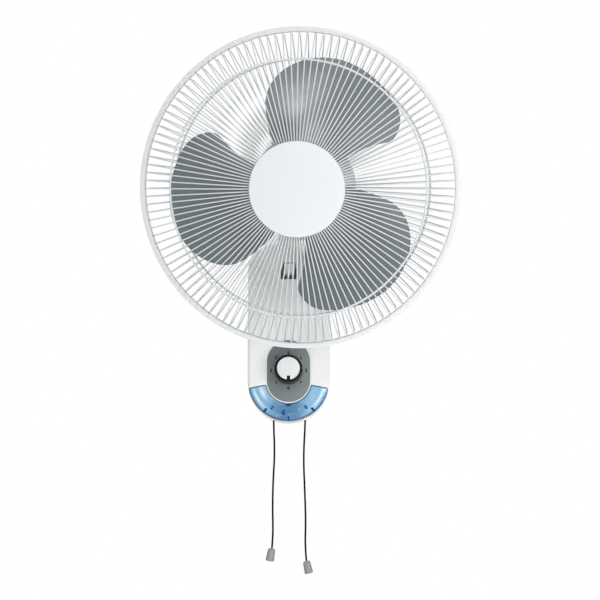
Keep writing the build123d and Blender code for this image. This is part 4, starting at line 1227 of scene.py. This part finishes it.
@dataclass
class Studio:
    """The pale floor, the soft lights and the camera at the photograph's angle.

    Lengths are in millimetres, or in metres where a comment says so.
    """

    target: Place = (16.9, -150.0, 34.9)
    distance: float = 2500.0
    elevation: float = -9.0
    focal_px: float = 1737.2
    image_px: float = 600.0
    sensor_mm: float = 36.0
    farthest: float = 50.0  # metres
    floor_z: float = -3400.0
    floor_size: float = 40.0  # metres
    floor_glow: float = 0.55
    floor_greys: Span = (0.8, 0.83)
    floor_lumps: float = 3.0
    floor_roughness: float = 0.8
    sky_colour: Colour = (0.93, 0.96, 1.0)
    sky_strength: float = 0.5

    def build(self) -> None:
        """Sets up everything that isn't the fan."""
        self.world()
        self.floor()
        for lamp in LAMPS:
            self.hang(lamp)
        self.camera()
        bpy.context.scene.view_settings.view_transform = "Standard"

    def world(self) -> None:
        """White where it is seen, mirrored or seen through a piece, and softer as a light."""
        world = bpy.data.worlds.new("studio")
        world.use_nodes = True
        tree = world.node_tree
        tree.nodes.clear()
        seen = background_rays(tree)
        sky = tree.nodes.new("ShaderNodeBackground")
        sky.inputs["Color"].default_value = (*self.sky_colour, 1.0)
        sky.inputs["Strength"].default_value = self.sky_strength
        white = tree.nodes.new("ShaderNodeBackground")
        white.inputs["Color"].default_value = (1.0, 1.0, 1.0, 1.0)
        white.inputs["Strength"].default_value = 1.0
        both = tree.nodes.new("ShaderNodeMixShader")
        tree.links.new(seen.socket, both.inputs[0])
        tree.links.new(sky.outputs[0], both.inputs[1])
        tree.links.new(white.outputs[0], both.inputs[2])
        end = tree.nodes.new("ShaderNodeOutputWorld")
        tree.links.new(both.outputs[0], end.inputs["Surface"])
        bpy.context.scene.world = world

    def floor(self) -> None:
        """A plain pale floor far below the fan."""
        mesh = bmesh.new()
        bmesh.ops.create_grid(mesh, x_segments=1, y_segments=1, size=self.floor_size)
        bmesh.ops.translate(mesh, verts=mesh.verts, vec=(0, 0, self.floor_z * MM))
        data = bpy.data.meshes.new("floor")
        mesh.to_mesh(data)
        mesh.free()
        piece = bpy.data.objects.new("floor", data)
        bpy.context.scene.collection.objects.link(piece)
        work = Shading("floor_pale")
        speck = work.noise(self.floor_lumps)
        seen = background_rays(work.tree)
        darker, lighter = ((grey,) * 3 for grey in self.floor_greys)
        piece.data.materials.append(
            work.surface(
                Base_Color=work.mix(darker, lighter, speck),
                Roughness=self.floor_roughness,
                Emission_Color=work.mix((0.0, 0.0, 0.0), (self.floor_glow,) * 3, seen),
                Emission_Strength=1.0,
            )
        )

    def hang(self, lamp: Lamp) -> None:
        """Adds a lamp that points at the fan.

        Args:
            lamp: the lamp; a gleam-only one shows in gloss and adds no other light.
        """
        light = bpy.data.lights.new(lamp.name, "AREA")
        light.shape = "DISK"
        light.size = lamp.width * MM
        light.energy = lamp.power
        holder = bpy.data.objects.new(lamp.name, light)
        bpy.context.scene.collection.objects.link(holder)
        holder.location = Vector(lamp.place) * MM
        aim = Vector(self.target) * MM - holder.location
        holder.rotation_euler = aim.to_track_quat("-Z", "Y").to_euler()
        holder.visible_diffuse = not lamp.gleam_only

    def camera(self) -> None:
        """The camera, where the photograph's was: a little below the fan and looking up."""
        lens = bpy.data.cameras.new("camera")
        lens.sensor_width = self.sensor_mm
        lens.lens = self.sensor_mm * self.focal_px / self.image_px
        lens.clip_end = self.farthest
        holder = bpy.data.objects.new("camera", lens)
        bpy.context.scene.collection.objects.link(holder)
        tilt = radians(self.elevation)
        ahead = Vector((0.0, cos(tilt), -sin(tilt)))
        holder.location = (Vector(self.target) - ahead * self.distance) * MM
        holder.rotation_euler = ahead.to_track_quat("-Z", "Y").to_euler()
        bpy.context.scene.camera = holder


SPEED_ROUTE = (
    (-22.4, -54.0, -83.0),
    (-22.4, -54.0, -130.0),
    (-20.2, -54.4, -178.0),
    (-23.0, -54.2, -225.0),
    (-23.3, -53.8, -265.0),
    (-22.4, -54.0, -296.0),
    (-24.2, -54.2, -317.6),
)
SPEED_LENGTH = 0.2347  # metres
SWING_ROUTE = (
    (25.0, -54.0, -96.0),
    (25.0, -54.0, -131.0),
    (21.8, -54.5, -183.0),
    (24.0, -54.2, -235.0),
    (25.4, -53.7, -280.0),
    (24.2, -54.0, -311.0),
    (26.2, -54.3, -335.6),
)
SWING_LENGTH = 0.2398  # metres


def head_axle(joints: Sequence[dict[str, object]]) -> Axle:
    """The motor shaft's place and directions, from the fan's own joints.

    Args:
        joints: the record's joints.

    Returns:
        The axle, with its zero on the plane of the swing axis.
    """
    by_name = {joint["name"]: joint for joint in joints}
    forward = Vector(by_name["fan_spin"]["axis"]).normalized()
    up = Vector(by_name["head_swing"]["axis"]).normalized()
    return Axle(Vector(by_name["fan_spin"]["pos_m"]), up.cross(forward), up, forward)


def main() -> None:
    """Builds the scene, one sub-assembly after another."""
    logging.basicConfig(level=logging.INFO, format="%(message)s")
    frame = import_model()
    finishes = Finishes()
    slots = {entry["node"]: entry["material_slot"] for entry in frame["record"]["subparts"]}
    for name, slot in slots.items():
        finishes.dress(frame["nodes"][name], slot)
    axle = head_axle(frame["joints"])
    for cord in (
        PullCord("speed_cord", Part.SPEED_PULL, SPEED_ROUTE, SPEED_LENGTH, "speed_bell", finishes),
        PullCord("swing_cord", Part.SWING_PULL, SWING_ROUTE, SWING_LENGTH, "swing_bell", finishes),
    ):
        cord.build()
    Studio().build()
    Guard(axle, finishes).build()
    Badge(axle, finishes).build()
    Mouldings(frame["nodes"], slots, finishes).build()
    DialPrint(finishes).build()


if __name__ == "__main__":
    main()
